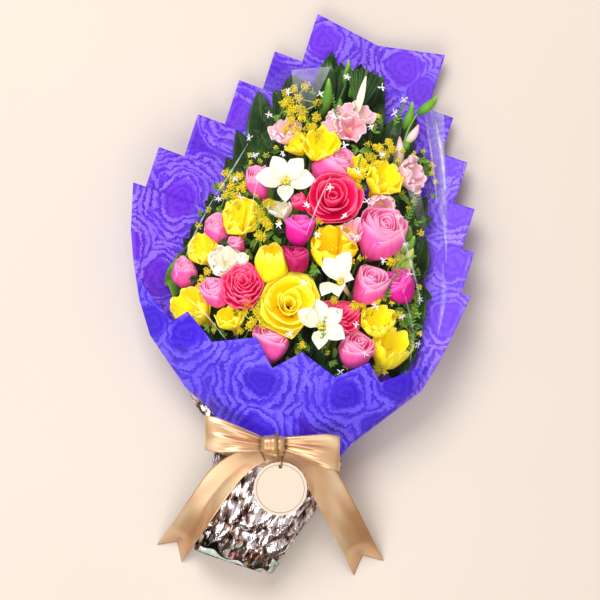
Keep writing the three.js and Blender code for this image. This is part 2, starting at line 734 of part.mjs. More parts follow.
// Rings of each kind of head, from its foot up and over its petals into its heart:
// [radius and height at a petal's middle, radius and height between petals, turn in half petals].
// A kind with shoulders has two more points a petal, at this share of the way from notch to tip.
const KINDS = {
  rose: {
    petals: 5,
    foot: -0.62,
    rings: [
      [0.13, -0.62, 0.13, -0.62, 0],
      [0.8, -0.05, 0.66, -0.12, 0],
      [1.02, 0.34, 0.84, 0.18, 0],
      [0.7, 0.36, 0.6, 0.26, 0],
      [0.74, 0.62, 0.6, 0.5, 1],
      [0.46, 0.5, 0.42, 0.42, 1],
      [0.44, 0.78, 0.34, 0.68, 0],
      [0.18, 0.58, 0.2, 0.6, 0],
    ],
    heart: 0.78,
  },
  goblet: {
    petals: 5,
    foot: -1.05,
    rings: [
      [0.13, -1.05, 0.13, -1.05, 0],
      [0.5, -0.62, 0.44, -0.62, 0],
      [0.74, -0.05, 0.66, -0.08, 0],
      [0.82, 0.55, 0.7, 0.42, 0],
      [0.6, 0.5, 0.5, 0.42, 0],
      [0.52, 0.78, 0.42, 0.68, 1],
      [0.28, 0.6, 0.26, 0.58, 1],
    ],
    heart: 0.8,
  },
  bud: {
    petals: 3,
    foot: -1.1,
    rings: [
      [0.16, -1.1, 0.16, -1.1, 0],
      [0.72, -0.55, 0.62, -0.5, 0],
      [0.9, 0.2, 0.8, 0.1, 0],
      [0.4, 0.85, 0.36, 0.8, 1],
    ],
    heart: 0.9,
  },
  trumpet: {
    petals: 6,
    foot: -1.25,
    rings: [
      [0.11, -1.25, 0.11, -1.25, 0],
      [0.52, -0.22, 0.46, -0.25, 0],
      [1.05, 0.3, 0.72, 0.16, 0],
      [0.62, 0.2, 0.46, 0.06, 0],
      [0.2, -0.3, 0.2, -0.3, 0],
    ],
    heart: -0.32,
  },
  star: {
    petals: 6,
    shoulder: 0.9,
    foot: -1.0,
    rings: [
      [0.09, -1.0, 0.09, -1.0, 0],
      [0.15, -0.45, 0.15, -0.45, 0],
      [0.36, -0.1, 0.26, -0.12, 0],
      [1.05, 0.12, 0.42, -0.02, 0],
      [0.62, 0.18, 0.34, 0.04, 0],
      [0.14, -0.06, 0.14, -0.06, 0],
    ],
    heart: 0.02,
  },
  cup: {
    petals: 3,
    foot: -1.25,
    rings: [
      [0.12, -1.25, 0.12, -1.25, 0],
      [0.6, -0.95, 0.56, -0.95, 0],
      [0.9, -0.1, 0.82, -0.1, 0],
      [0.72, 0.95, 0.6, 0.6, 0],
      [0.48, 0.8, 0.4, 0.5, 0],
      [0.26, 0, 0.26, 0, 0],
    ],
    heart: -0.05,
  },
};

function headPoint(head, radius, turn, height) {
  return head.centre
    .clone()
    .addScaledVector(head.e1, head.radius * radius * Math.cos(turn))
    .addScaledVector(head.e2, head.radius * radius * Math.sin(turn))
    .addScaledVector(head.way, head.radius * height);
}

const footOf = (head) => headPoint(head, 0, 0, KINDS[head.kind].foot);

function headBody(head) {
  const kind = KINDS[head.kind];
  const places = kind.shoulder ? [1, kind.shoulder, 0, kind.shoulder] : [1, 0];
  const sides = places.length * kind.petals;
  const list = kind.rings.map(([r1, h1, r2, h2, shift]) =>
    Array.from({ length: sides }, (_, i) => {
      const turn = head.spin + (2 * Math.PI * (i + shift)) / sides;
      const petal = places[i % places.length];
      return bend(head, headPoint(head, lerp(r2, r1, petal), turn, lerp(h2, h1, petal)));
    }),
  );
  return rings(list, footOf(head), bend(head, headPoint(head, 0, 0, kind.heart)));
}

// ---- stems ----
const BUNDLE = { top: -6, bottom: -117.4, lobes: 11 };
const bundleRing = (y) =>
  Array.from({ length: 2 * BUNDLE.lobes }, (_, i) => {
    const [x, a, b, z] = [1, 2, 3, 4].map((c) => read(FOIL, y, c));
    const turn = (2 * Math.PI * i) / (2 * BUNDLE.lobes);
    const inset = FOIL_WALL + (i % 2 ? 6 : 2.4);
    return V(x + (a - inset) * Math.cos(turn), y, z + (b - inset) * Math.sin(turn));
  }).reverse();
const stemSolids = [
  solid(
    rings(
      [BUNDLE.bottom, -80, -40, BUNDLE.top].map(bundleRing),
      V(22, BUNDLE.bottom, 24),
      V(29, BUNDLE.top, 36),
    ),
  ),
];

const NECK = 12; // a stem turns to face the way its bloom does over this length

const headSolids = heads.map((head) => solid(headBody(head)));

// Cuts a body back a little from each bloom and spray already placed that it still touches.
const placed = [];
const TRIM_STEPS = [
  [SEAT, 0, 0],
  [-SEAT, 0, 0],
  [0, SEAT, 0],
  [0, -SEAT, 0],
  [0, 0, SEAT],
  [0, 0, -SEAT],
];
function trimmed(body) {
  let rest = body;
  for (const other of placed) {
    if (rest.intersect(other).volume() <= 0) continue;
    TRIM_STEPS.forEach((step) => (rest = rest.subtract(other.translate(step))));
  }
  const [main] = rest.decompose().sort((a, b) => b.volume() - a.volume());
  placed.push(main);
  return main;
}

// True where a solid runs into a flower head that isn't one of its own.
function crosses(body, own) {
  return heads.some((head, i) => head.node !== own && body.intersect(headSolids[i]).volume() > 0);
}

// Tries a build at growing depths until it clears every other bloom.
const DEPTHS = [0, 4, 8, 12, 16, 20, 26, 32];
function clearOf(own, build) {
  let best = null;
  for (const depth of DEPTHS) {
    best = build(depth);
    if (!crosses(best.body, own)) break;
  }
  return best;
}

// A stem rises from the tie to the foot of its bloom or spray.
function addStem(foot, way, thick, own) {
  const start = V(29 + 0.3 * (foot.x - 10), BUNDLE.top - 6, clamp(16 + 0.42 * (foot.z - 24), 26, 56));
  const end = foot.clone().addScaledVector(way, -SEAT);
  const { body } = clearOf(own, (depth) => {
    const neck = foot.clone().addScaledVector(way, -NECK);
    neck.z = Math.max(neck.z - depth, stackTop(neck.x, neck.y) + BLOOM_FLOOR + 2);
    return { body: solid(stalk([start, neck, end], [thick, thick, 0.8 * thick], 3)) };
  });
  stemSolids.push(body);
}

// ---- flower heads and sprays ----
const STALK = 1.3;
const groups = Map.groupBy(heads, (head) => head.node);
for (const [name, group] of groups) {
  const bodies = group.map((head) => headSolids[heads.indexOf(head)]);
  let root = footOf(group[0]);
  let { way } = group[0];
  if (group.length > 1) {
    const feet = group.map(footOf);
    way = group.reduce((sum, head) => sum.add(head.way), V(0, 0, 0)).normalize();
    const middle = feet.reduce((sum, foot) => sum.add(foot), V(0, 0, 0)).multiplyScalar(1 / feet.length);
    const forked = clearOf(name, (depth) => {
      const fork = middle.clone().addScaledVector(way, -12);
      fork.z = Math.max(fork.z - 4 - depth, stackTop(fork.x, fork.y) + BLOOM_FLOOR + 2);
      const branches = group.map((head, i) => {
        const inside = feet[i].clone().addScaledVector(head.way, 2.5);
        const under = feet[i].clone().addScaledVector(head.way, -4);
        return solid(stalk([fork, under, inside], [STALK, STALK, STALK], 3));
      });
      const below = fork.clone().addScaledVector(way, -6);
      const trunk = solid(stalk([below, fork.clone().addScaledVector(way, 1)], [STALK, STALK + 0.4], 3));
      return { body: branches.reduce((a, b) => a.add(b), trunk), below };
    });
    bodies.push(forked.body);
    root = forked.below;
  }
  addStem(root, way, 1.8, name);
  add(name, largest(trimmed(bodies.reduce((a, b) => a.add(b)))), group[0].look);
}

// A floret or bud is a small pointed body with eight faces or more.
function floret(site, way, sides, long) {
  const e1 = V(0.2, 0.1, 1).cross(way).normalize();
  const e2 = way.clone().cross(e1);
  const r = site.radius;
  const ring = (share, height, turn0) =>
    Array.from({ length: sides }, (_, i) => {
      const turn = turn0 + (2 * Math.PI * i) / sides;
      const p = site.centre.clone();
      p.addScaledVector(e1, r * share * Math.cos(turn)).addScaledVector(e2, r * share * Math.sin(turn));
      return p.addScaledVector(way, r * height);
    });
  return rings(
    [ring(0.8, -0.4 * long, 0), ring(0.7, 0.3 * long, 0.4)],
    site.centre.clone().addScaledVector(way, -r * long),
    site.centre.clone().addScaledVector(way, r * long),
  );
}

sprays.forEach((places, k) => {
  const [name, look] = SPRAYS[k];
  const line = places.map((site) => site.centre.clone());
  const way = line[line.length - 1].clone().sub(line[0]).normalize();
  const first = line[0].clone().addScaledVector(way, -7);
  first.z -= 5;
  const bodies = [stalk([first, ...line], Array(line.length + 1).fill(0.9), 3)];
  const long = name.startsWith("freesia") ? 1.5 : 1.05;
  places.forEach((site) => bodies.push(floret(site, way, 4, long)));
  add(name, largest(trimmed(bodies.map(solid).reduce((a, b) => a.add(b)))), look);
  addStem(first, way, 1.5, name);
});

add("stems", largest(trimmed(stemSolids.reduce((a, b) => a.add(b)))), "stem");

// ---- leaves against the back paper ----
const TWIG = 1.2; // radius of a leafy stem
const LEAF_LIFT = 1.9; // every second leaf of a stem lies over its neighbours
function leafBlade([foot, tip, width], lift, seed) {
  const random = stream(seed);
  const a = fromPicture(...foot);
  const b = fromPicture(...tip);
  const length = Math.hypot(b[0] - a[0], b[1] - a[1]);
  const way = [(b[0] - a[0]) / length, (b[1] - a[1]) / length];
  const phase = 6 * random();
  const bow = 0.08 * length * (random() - 0.5);
  return sheet(
    (u, v) => {
      const w = 2 * u - 1;
      const half = (SCALE * width * 0.5) * (Math.sin(Math.PI * v ** 0.8) ** 0.8 + 0.1 * (1 - v)) + 0.5;
      const side = half * w + bow * Math.sin(Math.PI * v);
      const x = a[0] + way[0] * length * v - way[1] * side;
      const y = a[1] + way[1] * length * v + way[0] * side;
      const wave = 0.5 * Math.sin(9 * v + phase) * w + 0.7 * Math.abs(w);
      return V(x, y, stackTop(x, y) + 2.9 + lift + wave);
    },
    2,
    3,
    LEAF,
  );
}
LEAVES.forEach(([name, ...blades], k) => {
  const feet = blades.map(([foot]) => {
    const [x, y] = fromPicture(...foot);
    return V(x, y, stackTop(x, y) + 4);
  });
  const rest = feet[0].clone().add(V(1, -14, 0));
  rest.z = stackTop(rest.x, rest.y) + TWIG + 0.8;
  const twig = stalk([rest, ...feet], Array(feet.length + 1).fill(TWIG), 3);
  const bodies = blades.map((blade, i) => leafBlade(blade, i % 2 ? LEAF_LIFT : 0, 31 * k + i));
  add(name, join([twig, ...bodies]), "leaf");
});

export default bouquet;
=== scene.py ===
# A hand-tied bunch of mixed flowers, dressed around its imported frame.
# Shapes are worked out in millimetres in the tie's frame: +X right, +Y from stems to flower tips, +Z up.
import math
from itertools import combinations

import bpy
import numpy as np
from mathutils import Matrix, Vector


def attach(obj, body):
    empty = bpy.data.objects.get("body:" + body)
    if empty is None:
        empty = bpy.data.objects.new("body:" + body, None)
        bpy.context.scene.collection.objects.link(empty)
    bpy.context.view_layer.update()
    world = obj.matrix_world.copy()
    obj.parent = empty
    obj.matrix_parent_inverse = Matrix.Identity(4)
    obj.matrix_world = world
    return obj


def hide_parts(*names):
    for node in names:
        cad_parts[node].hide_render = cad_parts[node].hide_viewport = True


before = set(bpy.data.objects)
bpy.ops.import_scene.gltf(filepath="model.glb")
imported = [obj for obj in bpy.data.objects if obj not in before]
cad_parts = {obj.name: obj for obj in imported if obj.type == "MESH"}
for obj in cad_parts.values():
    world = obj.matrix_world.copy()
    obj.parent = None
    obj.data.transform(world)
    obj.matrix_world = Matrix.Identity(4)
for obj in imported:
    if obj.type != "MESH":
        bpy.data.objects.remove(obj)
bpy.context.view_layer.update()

# ---- driving sizes, as in the frame's own source ----
SCALE = 0.95  # millimetres to one unit of the front picture
WAIST_PX = (272, 440)  # the tie in the picture
LEAN = math.radians(18)  # the bunch's lean in the picture
MIDLINE_PX = 25  # from the frame's midline to the tie, in picture units
BACK_Y = 150  # mm from the tie to the part's own origin
PAPER = 0.8  # thickness
PAPER_FOOT = 0.6  # y of the papers' feet
PAPER_STEP = 2.5  # from sheet to sheet
FILM = 0.7  # thickness
RIBBON_WIDTH = 34
SEAT = 0.3  # between pieces that rest on each other
CELL_GAP = 0.2  # from a bloom to the plane between two rooms
FULLNESS = 1.26  # a bloom's reach over its half size in the picture
SOFT_FROM = 0.78  # share of its room from which a bloom is pressed in
FLAT_SHARE = 0.13  # share of the wrap's half width on which it lies flat
FULL_WIDTH_Y = 192  # y from which the wrap keeps its full width
BLOOM_FLOOR = 7.5  # kept free over the papers
FILM_CLEAR = 3.9  # kept free under the film

# Paper sheets, back one first: [left x, right x, top y at the left, in the middle, at the right].
SHEETS = [
    [-61, 68, 402, 391, 402], [-89, 94, 355, 352, 347], [-113, 120, 318, 314, 310],
    [-140, 140, 274, 270, 269], [-165, 152, 232, 228, 229], [-177, 161.5, 192, 190, 188],
]
STACK = (len(SHEETS) - 1) * PAPER_STEP + PAPER
# [y, left x, right x] of the wrap.
OUTLINE = [
    [0, -34, 88], [8, -38, 93], [22, -70, 99], [59, -117, 124], [88, -137, 144], [122, -154, 152],
    [148, -165, 156], [192, -177, 161.5], [420, -177, 161.5],
]
# [y, height of the paper's side edge, height of the front's crown].
PROFILE = [
    [0, 30, 70], [22, 36, 76], [60, 46, 106], [110, 52, 126], [190, 50, 126], [270, 40, 108], [350, 30, 76],
    [420, 28, 50],
]
# [x, y] of the corners of the collar's top edge.
ZIGZAG = [
    [-150, 110], [-101, 78], [-89, 92], [-58, 72], [-20, 89], [3, 66], [25, 89], [62, 76], [88, 99],
    [104, 84], [145, 116],
]
# [y, left x, right x] of the film.
FILM_EDGE = [
    [52, -100, 108], [99, -130, 130], [127, -124, 138], [209, -117, 132], [304, -102, 96], [346, -72, 76],
]
# [y, centre x, half width, half depth, centre z] of the foil base.
FOIL = [
    [-124, 22, 37, 24, 24], [-104, 26, 41, 27, 27], [-80, 29, 46, 31, 31], [-56, 31, 51, 33, 33],
    [-32, 31, 56, 33, 35.6], [-4, 29, 63, 33, 36.2],
]

# Flower heads: [node, kind, colour, place in the picture, size, facing, tilt, depth].
HEADS = [
    ["rose_pink_1", "goblet", "pink", [261, 184], 30, -12, 62, 4],
    ["rose_pink_2", "goblet", "pink", [331, 168], 46, 40, 60, 10],
    ["rose_crimson_1", "rose", "crimson", [332, 200], 52, 10, 14, 2],
    ["rose_crimson_1", "bud", "crimson", [300, 204], 20, -40, 50, 8],
    ["rose_pink_3", "goblet", "pink", [379, 236], 52, 28, 50, 0],
    ["rose_magenta_1", "goblet", "magenta", [300, 232], 32, 4, 72, 3],
    ["rose_crimson_2", "goblet", "crimson", [296, 261], 31, 6, 64, 4],
    ["rose_pink_4", "goblet", "pink", [366, 287], 40, 25, 54, 6],
    ["rose_pink_5", "goblet", "pink", [272, 342], 38, 0, 56, 0],
    ["rose_pink_6", "goblet", "pink", [355, 350], 40, 25, 44, 2],
    ["rose_pink_7", "goblet", "pink", [217, 231], 28, -12, 66, 3],
    ["rose_pink_7", "bud", "pink", [238, 244], 18, -40, 50, 9],
    ["rose_pink_8", "goblet", "pink", [185, 273], 30, -6, 68, 4],
    ["rose_pink_8", "goblet", "pink", [217, 293], 32, -22, 56, 3],
    ["rose_hotpink_1", "rose", "crimson", [245, 287], 44, -10, 25, 0],
    ["rose_hotpink_2", "rose", "crimson", [338, 317], 42, 20, 30, 8],
    ["rose_magenta_2", "goblet", "magenta", [400, 288], 32, -24, 56, 3],
    ["freesia_yellow_1", "trumpet", "yellow", [322, 150], 42, 10, 36, 3],
    ["freesia_yellow_1", "trumpet", "yellow", [299, 147], 28, -50, 50, 8],
    ["freesia_yellow_2", "trumpet", "yellow", [381, 182], 38, 36, 44, 3],
    ["freesia_yellow_2", "trumpet", "yellow", [355, 172], 30, 5, 50, 9],
    ["freesia_yellow_3", "trumpet", "yellow", [241, 220], 40, -5, 36, 2],
    ["freesia_yellow_3", "trumpet", "yellow", [204, 252], 36, -30, 44, 3],
    ["tulip_yellow", "cup", "yellow", [272, 268], 38, 0, 62, 2],
    ["freesia_yellow_4", "trumpet", "yellow", [334, 250], 52, -10, 30, 6],
    ["rose_yellow", "rose", "yellow", [289, 305], 58, 20, 14, 0],
    ["freesia_yellow_5", "trumpet", "yellow", [194, 311], 46, -50, 42, 3],
    ["freesia_yellow_5", "trumpet", "yellow", [232, 319], 30, -20, 45, 7],
    ["freesia_yellow_6", "trumpet", "yellow", [375, 323], 37, 26, 38, 2],
    ["freesia_yellow_6", "trumpet", "yellow", [389, 352], 48, 30, 50, -1],
    ["freesia_white_1", "star", "white", [286, 183], 54, -5, 14, 0],
    ["freesia_white_1", "trumpet", "white", [282, 210], 26, -20, 45, 9],
    ["freesia_white_2", "star", "white", [341, 284], 46, -35, 30, 0],
    ["freesia_white_3", "star", "white", [321, 327], 50, 10, 12, -1],
    ["freesia_white_4", "trumpet", "white", [226, 264], 34, -15, 35, 2],
    ["freesia_white_4", "bud", "white", [243, 262], 15, 10, 50, 8],
    ["freesia_blush_1", "trumpet", "blush", [347, 124], 46, -20, 52, 4],
    ["freesia_blush_1", "trumpet", "blush", [287, 135], 28, -20, 50, 8],
    ["freesia_blush_2", "trumpet", "blush", [408, 175], 32, 80, 66, 4],
    ["freesia_blush_2", "trumpet", "blush", [380, 203], 32, 170, 40, 8],
    ["freesia_blush_3", "trumpet", "blush", [352, 234], 30, 10, 40, 6],
]
LOWERED = {"freesia_yellow_4": 14, "rose_pink_4": 2}  # mm by which a bloom stays lower under the film
# Sprays: [node, colour, floret size, line of places in the picture, depth].
SPRAYS = [
    ["goldenrod_1", "golden", 9, [[311, 128], [303, 113], [318, 104], [298, 98], [306, 86]], 8],
    ["goldenrod_2", "golden", 9, [[372, 158], [384, 154], [377, 148], [388, 143]], 8],
    ["goldenrod_3", "golden", 9, [[238, 204], [228, 194], [242, 188], [233, 178]], 6],
    ["goldenrod_4", "golden", 9, [[262, 238], [268, 226], [261, 214], [268, 204]], 10],
    ["goldenrod_5", "golden", 9, [[256, 309], [266, 297], [245, 312], [253, 321]], 9],
    ["goldenrod_6", "golden", 9, [[362, 305], [371, 299], [381, 296]], 15],
    ["goldenrod_7", "lime", 9, [[408, 352], [411, 336], [404, 322], [413, 308], [416, 296]], 14],
    ["freesia_buds_green", "lime", 12, [[403, 265], [402, 254], [412, 250], [407, 240], [412, 232]], 15],
    ["freesia_buds_pink", "blush", 13, [[399, 152], [402, 134], [412, 138], [411, 118], [426, 104]], 8],
    ["freesia_buds_top", "lime", 12, [[338, 108], [326, 97], [346, 86], [350, 70]], 30],
]
# Leafy stems against the back paper: leaves as [foot, tip in the picture, width].
LEAVES = {
    "leaves_top": [
        [[256, 190], [236, 128], 30], [[276, 176], [258, 88], 38], [[298, 170], [288, 74], 38],
        [[322, 168], [332, 48], 36], [[346, 166], [362, 60], 42], [[360, 170], [384, 74], 32],
    ],
    "leaves_right": [
        [[332, 350], [346, 256], 34], [[352, 330], [411, 314], 32], [[366, 296], [424, 258], 38],
        [[370, 254], [424, 204], 38], [[374, 216], [424, 154], 38], [[386, 192], [418, 114], 26],
    ],
    "leaves_left": [
        [[288, 350], [298, 244], 38], [[262, 344], [256, 244], 46], [[236, 324], [174, 290], 36],
        [[240, 290], [182, 238], 36], [[246, 250], [208, 192], 36], [[262, 244], [296, 180], 40],
    ],
}


# ---- the frame's surfaces, for arrays of places ----
def from_picture(px, py):
    """x and y in mm of a place in the picture."""
    dx = px - WAIST_PX[0]
    dy = py - WAIST_PX[1]
    u = math.cos(LEAN) * dx + math.sin(LEAN) * dy
    v = math.sin(LEAN) * dx - math.cos(LEAN) * dy
    return np.array([SCALE * (u + MIDLINE_PX), SCALE * v])


def read(table, key, column):
    """A column of a table, read between its rows."""
    return np.interp(key, [row[0] for row in table], [row[column] for row in table])


def outline_x(y, s):
    """x at a share of the wrap's width: -1 at its left edge, 1 at its right."""
    return read(OUTLINE, y, 1) * (1 - s) / 2 + read(OUTLINE, y, 2) * (1 + s) / 2


def across(x, y):
    """The share of the wrap's width that outline_x takes, for a place."""
    left = read(OUTLINE, y, 1)
    right = read(OUTLINE, y, 2)
    return np.clip((2 * x - left - right) / (right - left), -1, 1)


def back_height(x, y):
    """Height of the rearmost paper's underside."""
    s = np.maximum(0, np.abs(across(x, y)) - FLAT_SHARE) / (1 - FLAT_SHARE)
    return read(PROFILE, y, 1) * s**2 + 16 * np.maximum(0, (y - 250) / 150) ** 2


def stack_top(x, y):
    """Height of the uppermost back paper."""
    s = across(x, y)
    top = np.ones_like(s)
    for i, (left, right, _, middle, _) in enumerate(SHEETS):
        within = (s > across(left, FULL_WIDTH_Y) - 0.02) & (s < across(right, FULL_WIDTH_Y) + 0.02)
        top = np.where(within & (y < middle + 4), i + 1, top)
    return back_height(x, y) + (top - 1) * PAPER_STEP + PAPER


def front_height(x, y):
    """Height of the collar between its folds."""
    edge = read(PROFILE, y, 1) + STACK + SEAT + PAPER / 2 + 0.4
    return edge + (read(PROFILE, y, 2) - edge) * (1 - np.abs(across(x, y)) ** 2.4)


def film_height(x, y):
    """Height of the film."""
    left = read(FILM_EDGE, y, 1)
    right = read(FILM_EDGE, y, 2)
    s = np.clip((2 * x - left - right) / (right - left), -1, 1)
    edge = stack_top(np.where(s < 0, left, right), y) + 2.8 + FILM / 2
    return edge + (read(PROFILE, y, 2) - 5 - edge) * (1 - np.abs(s) ** 3)


# ---- lines and grids ----
def down(*span, **how):
    """Even steps from row to row of a grid."""
    return np.linspace(*span, **how)[:, None]


def over(*span, **how):
    """Even steps from column to column of a grid."""
    return np.linspace(*span, **how)[None, :]


def stacked(*parts):
    """Points or marks from their coordinates."""
    return np.stack(np.broadcast_arrays(*parts), -1)


def unit(vector):
    return vector / np.linalg.norm(vector)


def heading(turn):
    return np.array([math.cos(turn), math.sin(turn)])


def turns(count):
    """Even turns round a circle."""
    return np.linspace(0, 2 * math.pi, count, endpoint=False)


def left_of(way):
    return np.array([-way[1], way[0]])


def beside(foot, way, along, aside):
    """x and y at distances along a way and to its left."""
    return foot[0] + way[0] * along - way[1] * aside, foot[1] + way[1] * along + way[0] * aside


def ways_along(line):
    """Unit ways along a line of points."""
    ways = np.gradient(line, axis=0)
    return ways / np.linalg.norm(ways, axis=1)[:, None]


def walked(line):
    """Distance along a line at each of its points."""
    return np.concatenate([[0], np.cumsum(np.linalg.norm(np.diff(line, axis=0), axis=1))])


def lengthwise(line):
    """The coordinates of a line's points, each down a grid."""
    return line.T[..., None]


def smooth_step(value, start, end):
    t = np.clip((value - start) / (end - start), 0, 1)
    return t * t * (3 - 2 * t)


def smooth_line(points, steps):
    """A Catmull-Rom line through points."""
    points = np.array(points, dtype=float)
    padded = np.vstack([2 * points[0] - points[1], points, 2 * points[-1] - points[-2]])
    line = []
    for a, b, c, d in zip(padded, padded[1:], padded[2:], padded[3:]):
        for t in np.linspace(0, 1, steps, endpoint=False):
            bent = (2 * a - 5 * b + 4 * c - d) * t**2 + (3 * b - a - 3 * c + d) * t**3
            line.append(0.5 * (2 * b + (c - a) * t + bent))
    return np.array([*line, points[-1]])


def picture_line(places, steps):
    """A smooth line through places in the picture."""
    return smooth_line([from_picture(*at) for at in places], steps)


# ---- meshes ----
class Shape:
    """Points in millimetres with their faces, petal coordinates and material numbers."""

    def __init__(self):
        self.points = []
        self.faces = []
        self.marks = []
        self.looks = []
        self.count = 0

    def grid(self, points, look=0, loop=False, marks=None):
        """A surface through rows of points (rows, columns, 3); loop joins its last column to its first."""
        rows, columns = points.shape[:2]
        if marks is None:
            s, t = np.meshgrid(np.linspace(0, 1, columns), np.linspace(0, 1, rows))
            marks = stacked(s, t)
        start = self.count
        self.points.append(points.reshape(-1, 3))
        self.marks.append(marks.reshape(-1, 2))
        self.count += rows * columns
        last = columns if loop else columns - 1
        for j in range(rows - 1):
            for i in range(last):
                a = start + j * columns + i
                b = start + j * columns + (i + 1) % columns
                self.faces.append((a, b, b + columns, a + columns))
                self.looks.append(look)


def placed(name, data):
    """A new object in the scene."""
    made = bpy.data.objects.new(name, data)
    bpy.context.scene.collection.objects.link(made)
    return made


def piece(name, shape, looks, slot, nodes=(), smooth=True, thickness=0):
    """The Blender object of a shape, with its marks in a UV map."""
    points = np.vstack(shape.points) - [0, BACK_Y, 0]
    mesh = bpy.data.meshes.new(name)
    mesh.from_pydata((points / 1000).tolist(), [], shape.faces)
    mesh.polygons.foreach_set("material_index", shape.looks)
    mesh.polygons.foreach_set("use_smooth", [smooth] * len(shape.faces))
    corners = np.zeros(len(mesh.loops), dtype=np.int32)
    mesh.loops.foreach_get("vertex_index", corners)
    mesh.uv_layers.new(name="place").data.foreach_set("uv", np.vstack(shape.marks)[corners].ravel())
    for look in looks:
        mesh.materials.append(look)
    mesh.update()
    made = placed(name, mesh)
    if thickness:
        skin = made.modifiers.new("thickness", "SOLIDIFY")
        skin.thickness = thickness / 1000
        skin.offset = 0
    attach(made, "root")
    if nodes:
        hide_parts(*nodes)
    return made


def surface(name, points, look, slot, nodes=(), marks=None, loop=False, **form):
    """A piece of a single grid of points."""
    shape = Shape()
    shape.grid(points, loop=loop, marks=marks)
    return piece(name, shape, [look], slot, nodes, **form)


def dress(node, look):
    """Gives a solid of the frame its material."""
    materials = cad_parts[node].data.materials
    materials.clear()
    materials.append(look)


# ---- materials ----
def rgb(code):
    """A screen colour such as "#5b3fe0" as linear RGBA."""
    parts = [int(code[i : i + 2], 16) / 255 for i in (1, 3, 5)]
    return (*[c / 12.92 if c <= 0.04045 else ((c + 0.055) / 1.055) ** 2.4 for c in parts], 1)


def fill_ramp(node, stops):
    """Sets the stops of a colour ramp: [position, screen colour or grey]."""
    bar = node.color_ramp.elements
    while len(bar) < len(stops):
        bar.new(0.5)
    for element, (position, colour) in zip(bar, stops):
        element.position = position
        element.color = rgb(colour) if isinstance(colour, str) else (colour, colour, colour, 1)


def in_use(sockets, name):
    """The enabled socket of a name: a Mix node has one for each kind of data."""
    return next(socket for socket in sockets if socket.name == name and socket.enabled)


class Signal:
    """The output of a node. Sums, products and the like add Math nodes."""

    def __init__(self, look, socket):
        self.look = look
        self.socket = socket

    def __add__(self, other):
        return self.look.math("ADD", self, other)

    def __sub__(self, other):
        return self.look.math("SUBTRACT", self, other)

    def __rsub__(self, other):
        return self.look.math("SUBTRACT", other, self)

    def __mul__(self, other):
        return self.look.math("MULTIPLY", self, other)

    def __rmul__(self, other):
        return self.look.math("MULTIPLY", other, self)

    def __truediv__(self, other):
        return self.look.math("DIVIDE", self, other)

    def __abs__(self):
        return self.look.math("ABSOLUTE", self)


class Look:
    """A material and short ways to add its nodes."""

    def __init__(self, name, **settings):
        self.made = bpy.data.materials.new(name)
        self.made.use_nodes = True
        self.tree = self.made.node_tree
        self.set(**settings)

    def set(self, **settings):
        """Links or sets the shader's sockets, named with _ for a space."""
        for key, value in settings.items():
            self.put(self.tree.nodes["Principled BSDF"].inputs[key.replace("_", " ")], value)

    def put(self, socket, value):
        if isinstance(value, Signal):
            self.tree.links.new(value.socket, socket)
        else:
            socket.default_value = value

    def add(self, kind, inputs=(), **settings):
        made = self.tree.nodes.new("ShaderNode" + kind)
        for key, value in settings.items():
            setattr(made, key, value)
        for key, value in dict(inputs).items():
            self.put(made.inputs[key], value)
        return made

    def node(self, kind, inputs=(), out=0, **settings):
        return Signal(self, self.add(kind, inputs, **settings).outputs[out])

    def math(self, operation, a, b=0.0):
        return self.node("Math", {0: a, 1: b}, operation=operation)

    def vector(self, operation, a, b, out=0):
        return self.node("VectorMath", {0: a, 1: b}, out, operation=operation)

    def place(self):
        """The coordinates that a shape's marks give."""
        return self.node("UVMap", uv_map="place")

    def body(self):
        return self.node("TexCoord", out="Object")

    def stretched(self, vector, scale):
        return self.node("Mapping", {"Vector": vector, "Scale": scale})

    def split(self, vector):
        made = self.add("SeparateXYZ", {0: vector})
        return Signal(self, made.outputs[0]), Signal(self, made.outputs[1])

    def ramp(self, factor, stops):
        made = self.add("ValToRGB", {0: factor})
        fill_ramp(made, stops)
        return Signal(self, made.outputs[0])

    def mix(self, factor, a, b, blend="MIX", kind="RGBA"):
        made = self.add("Mix", data_type=kind, blend_type=blend)
        for name, value in (("Factor", factor), ("A", a), ("B", b)):
            self.put(in_use(made.inputs, name), rgb(value) if isinstance(value, str) else value)
        return Signal(self, in_use(made.outputs, "Result"))

    def dimmed(self, colour, factor, stops):
        """A colour multiplied by a ramp of greys."""
        return self.mix(1.0, colour, self.ramp(factor, stops), "MULTIPLY")

    def noise(self, scale, detail=3.0, vector=None, out=0, roughness=0.5):
        inputs = {"Scale": scale, "Detail": detail, "Roughness": roughness, "Vector": vector or self.body()}
        return self.node("TexNoise", inputs, out)

    def bump(self, height, strength, distance):
        self.set(Normal=self.node("Bump", {"Height": height, "Strength": strength, "Distance": distance}))


def petal_look(name, deep, body, edge, painted_glow, veins=0.16, mottled=0.12, soft=0.1):
    """Petal flesh: deep colour at its foot, partly the petal's own tone and partly painted shade; body
    colour; edge colour at its rim, partly its own tone and partly a painted highlight; with fine veins along
    it. Its emission is a painted glow: the petal gives off light of its own colour.
    """
    look = Look(name, Roughness=0.5, Specular_IOR_Level=0.2)
    place = look.place()
    # Deep foot: partly own tone, partly painted shade. Pale rim: partly own tone, partly a painted highlight.
    flesh = look.ramp(look.split(place)[1], [(0.0, deep), (0.4, body), (0.76, body), (1.0, edge)])
    vein = look.noise(1.0, 4.0, look.stretched(place, (26, 2.0, 1)))
    flesh = look.dimmed(flesh, vein, [(0.35, 1 - veins), (0.6, 1.0)])
    flesh = look.dimmed(flesh, look.noise(70.0), [(0.35, 1 - mottled), (0.62, 1.0)])
    # The emission is painted light: a glow of the petal's own colour.
    look.set(Base_Color=flesh, Emission_Color=flesh, Emission_Strength=painted_glow)
    look.set(Subsurface_Weight=soft, Subsurface_Radius=(0.9, 0.5, 0.4), Subsurface_Scale=0.003)
    look.bump(vein, 0.3, 0.0004)
    return look.made


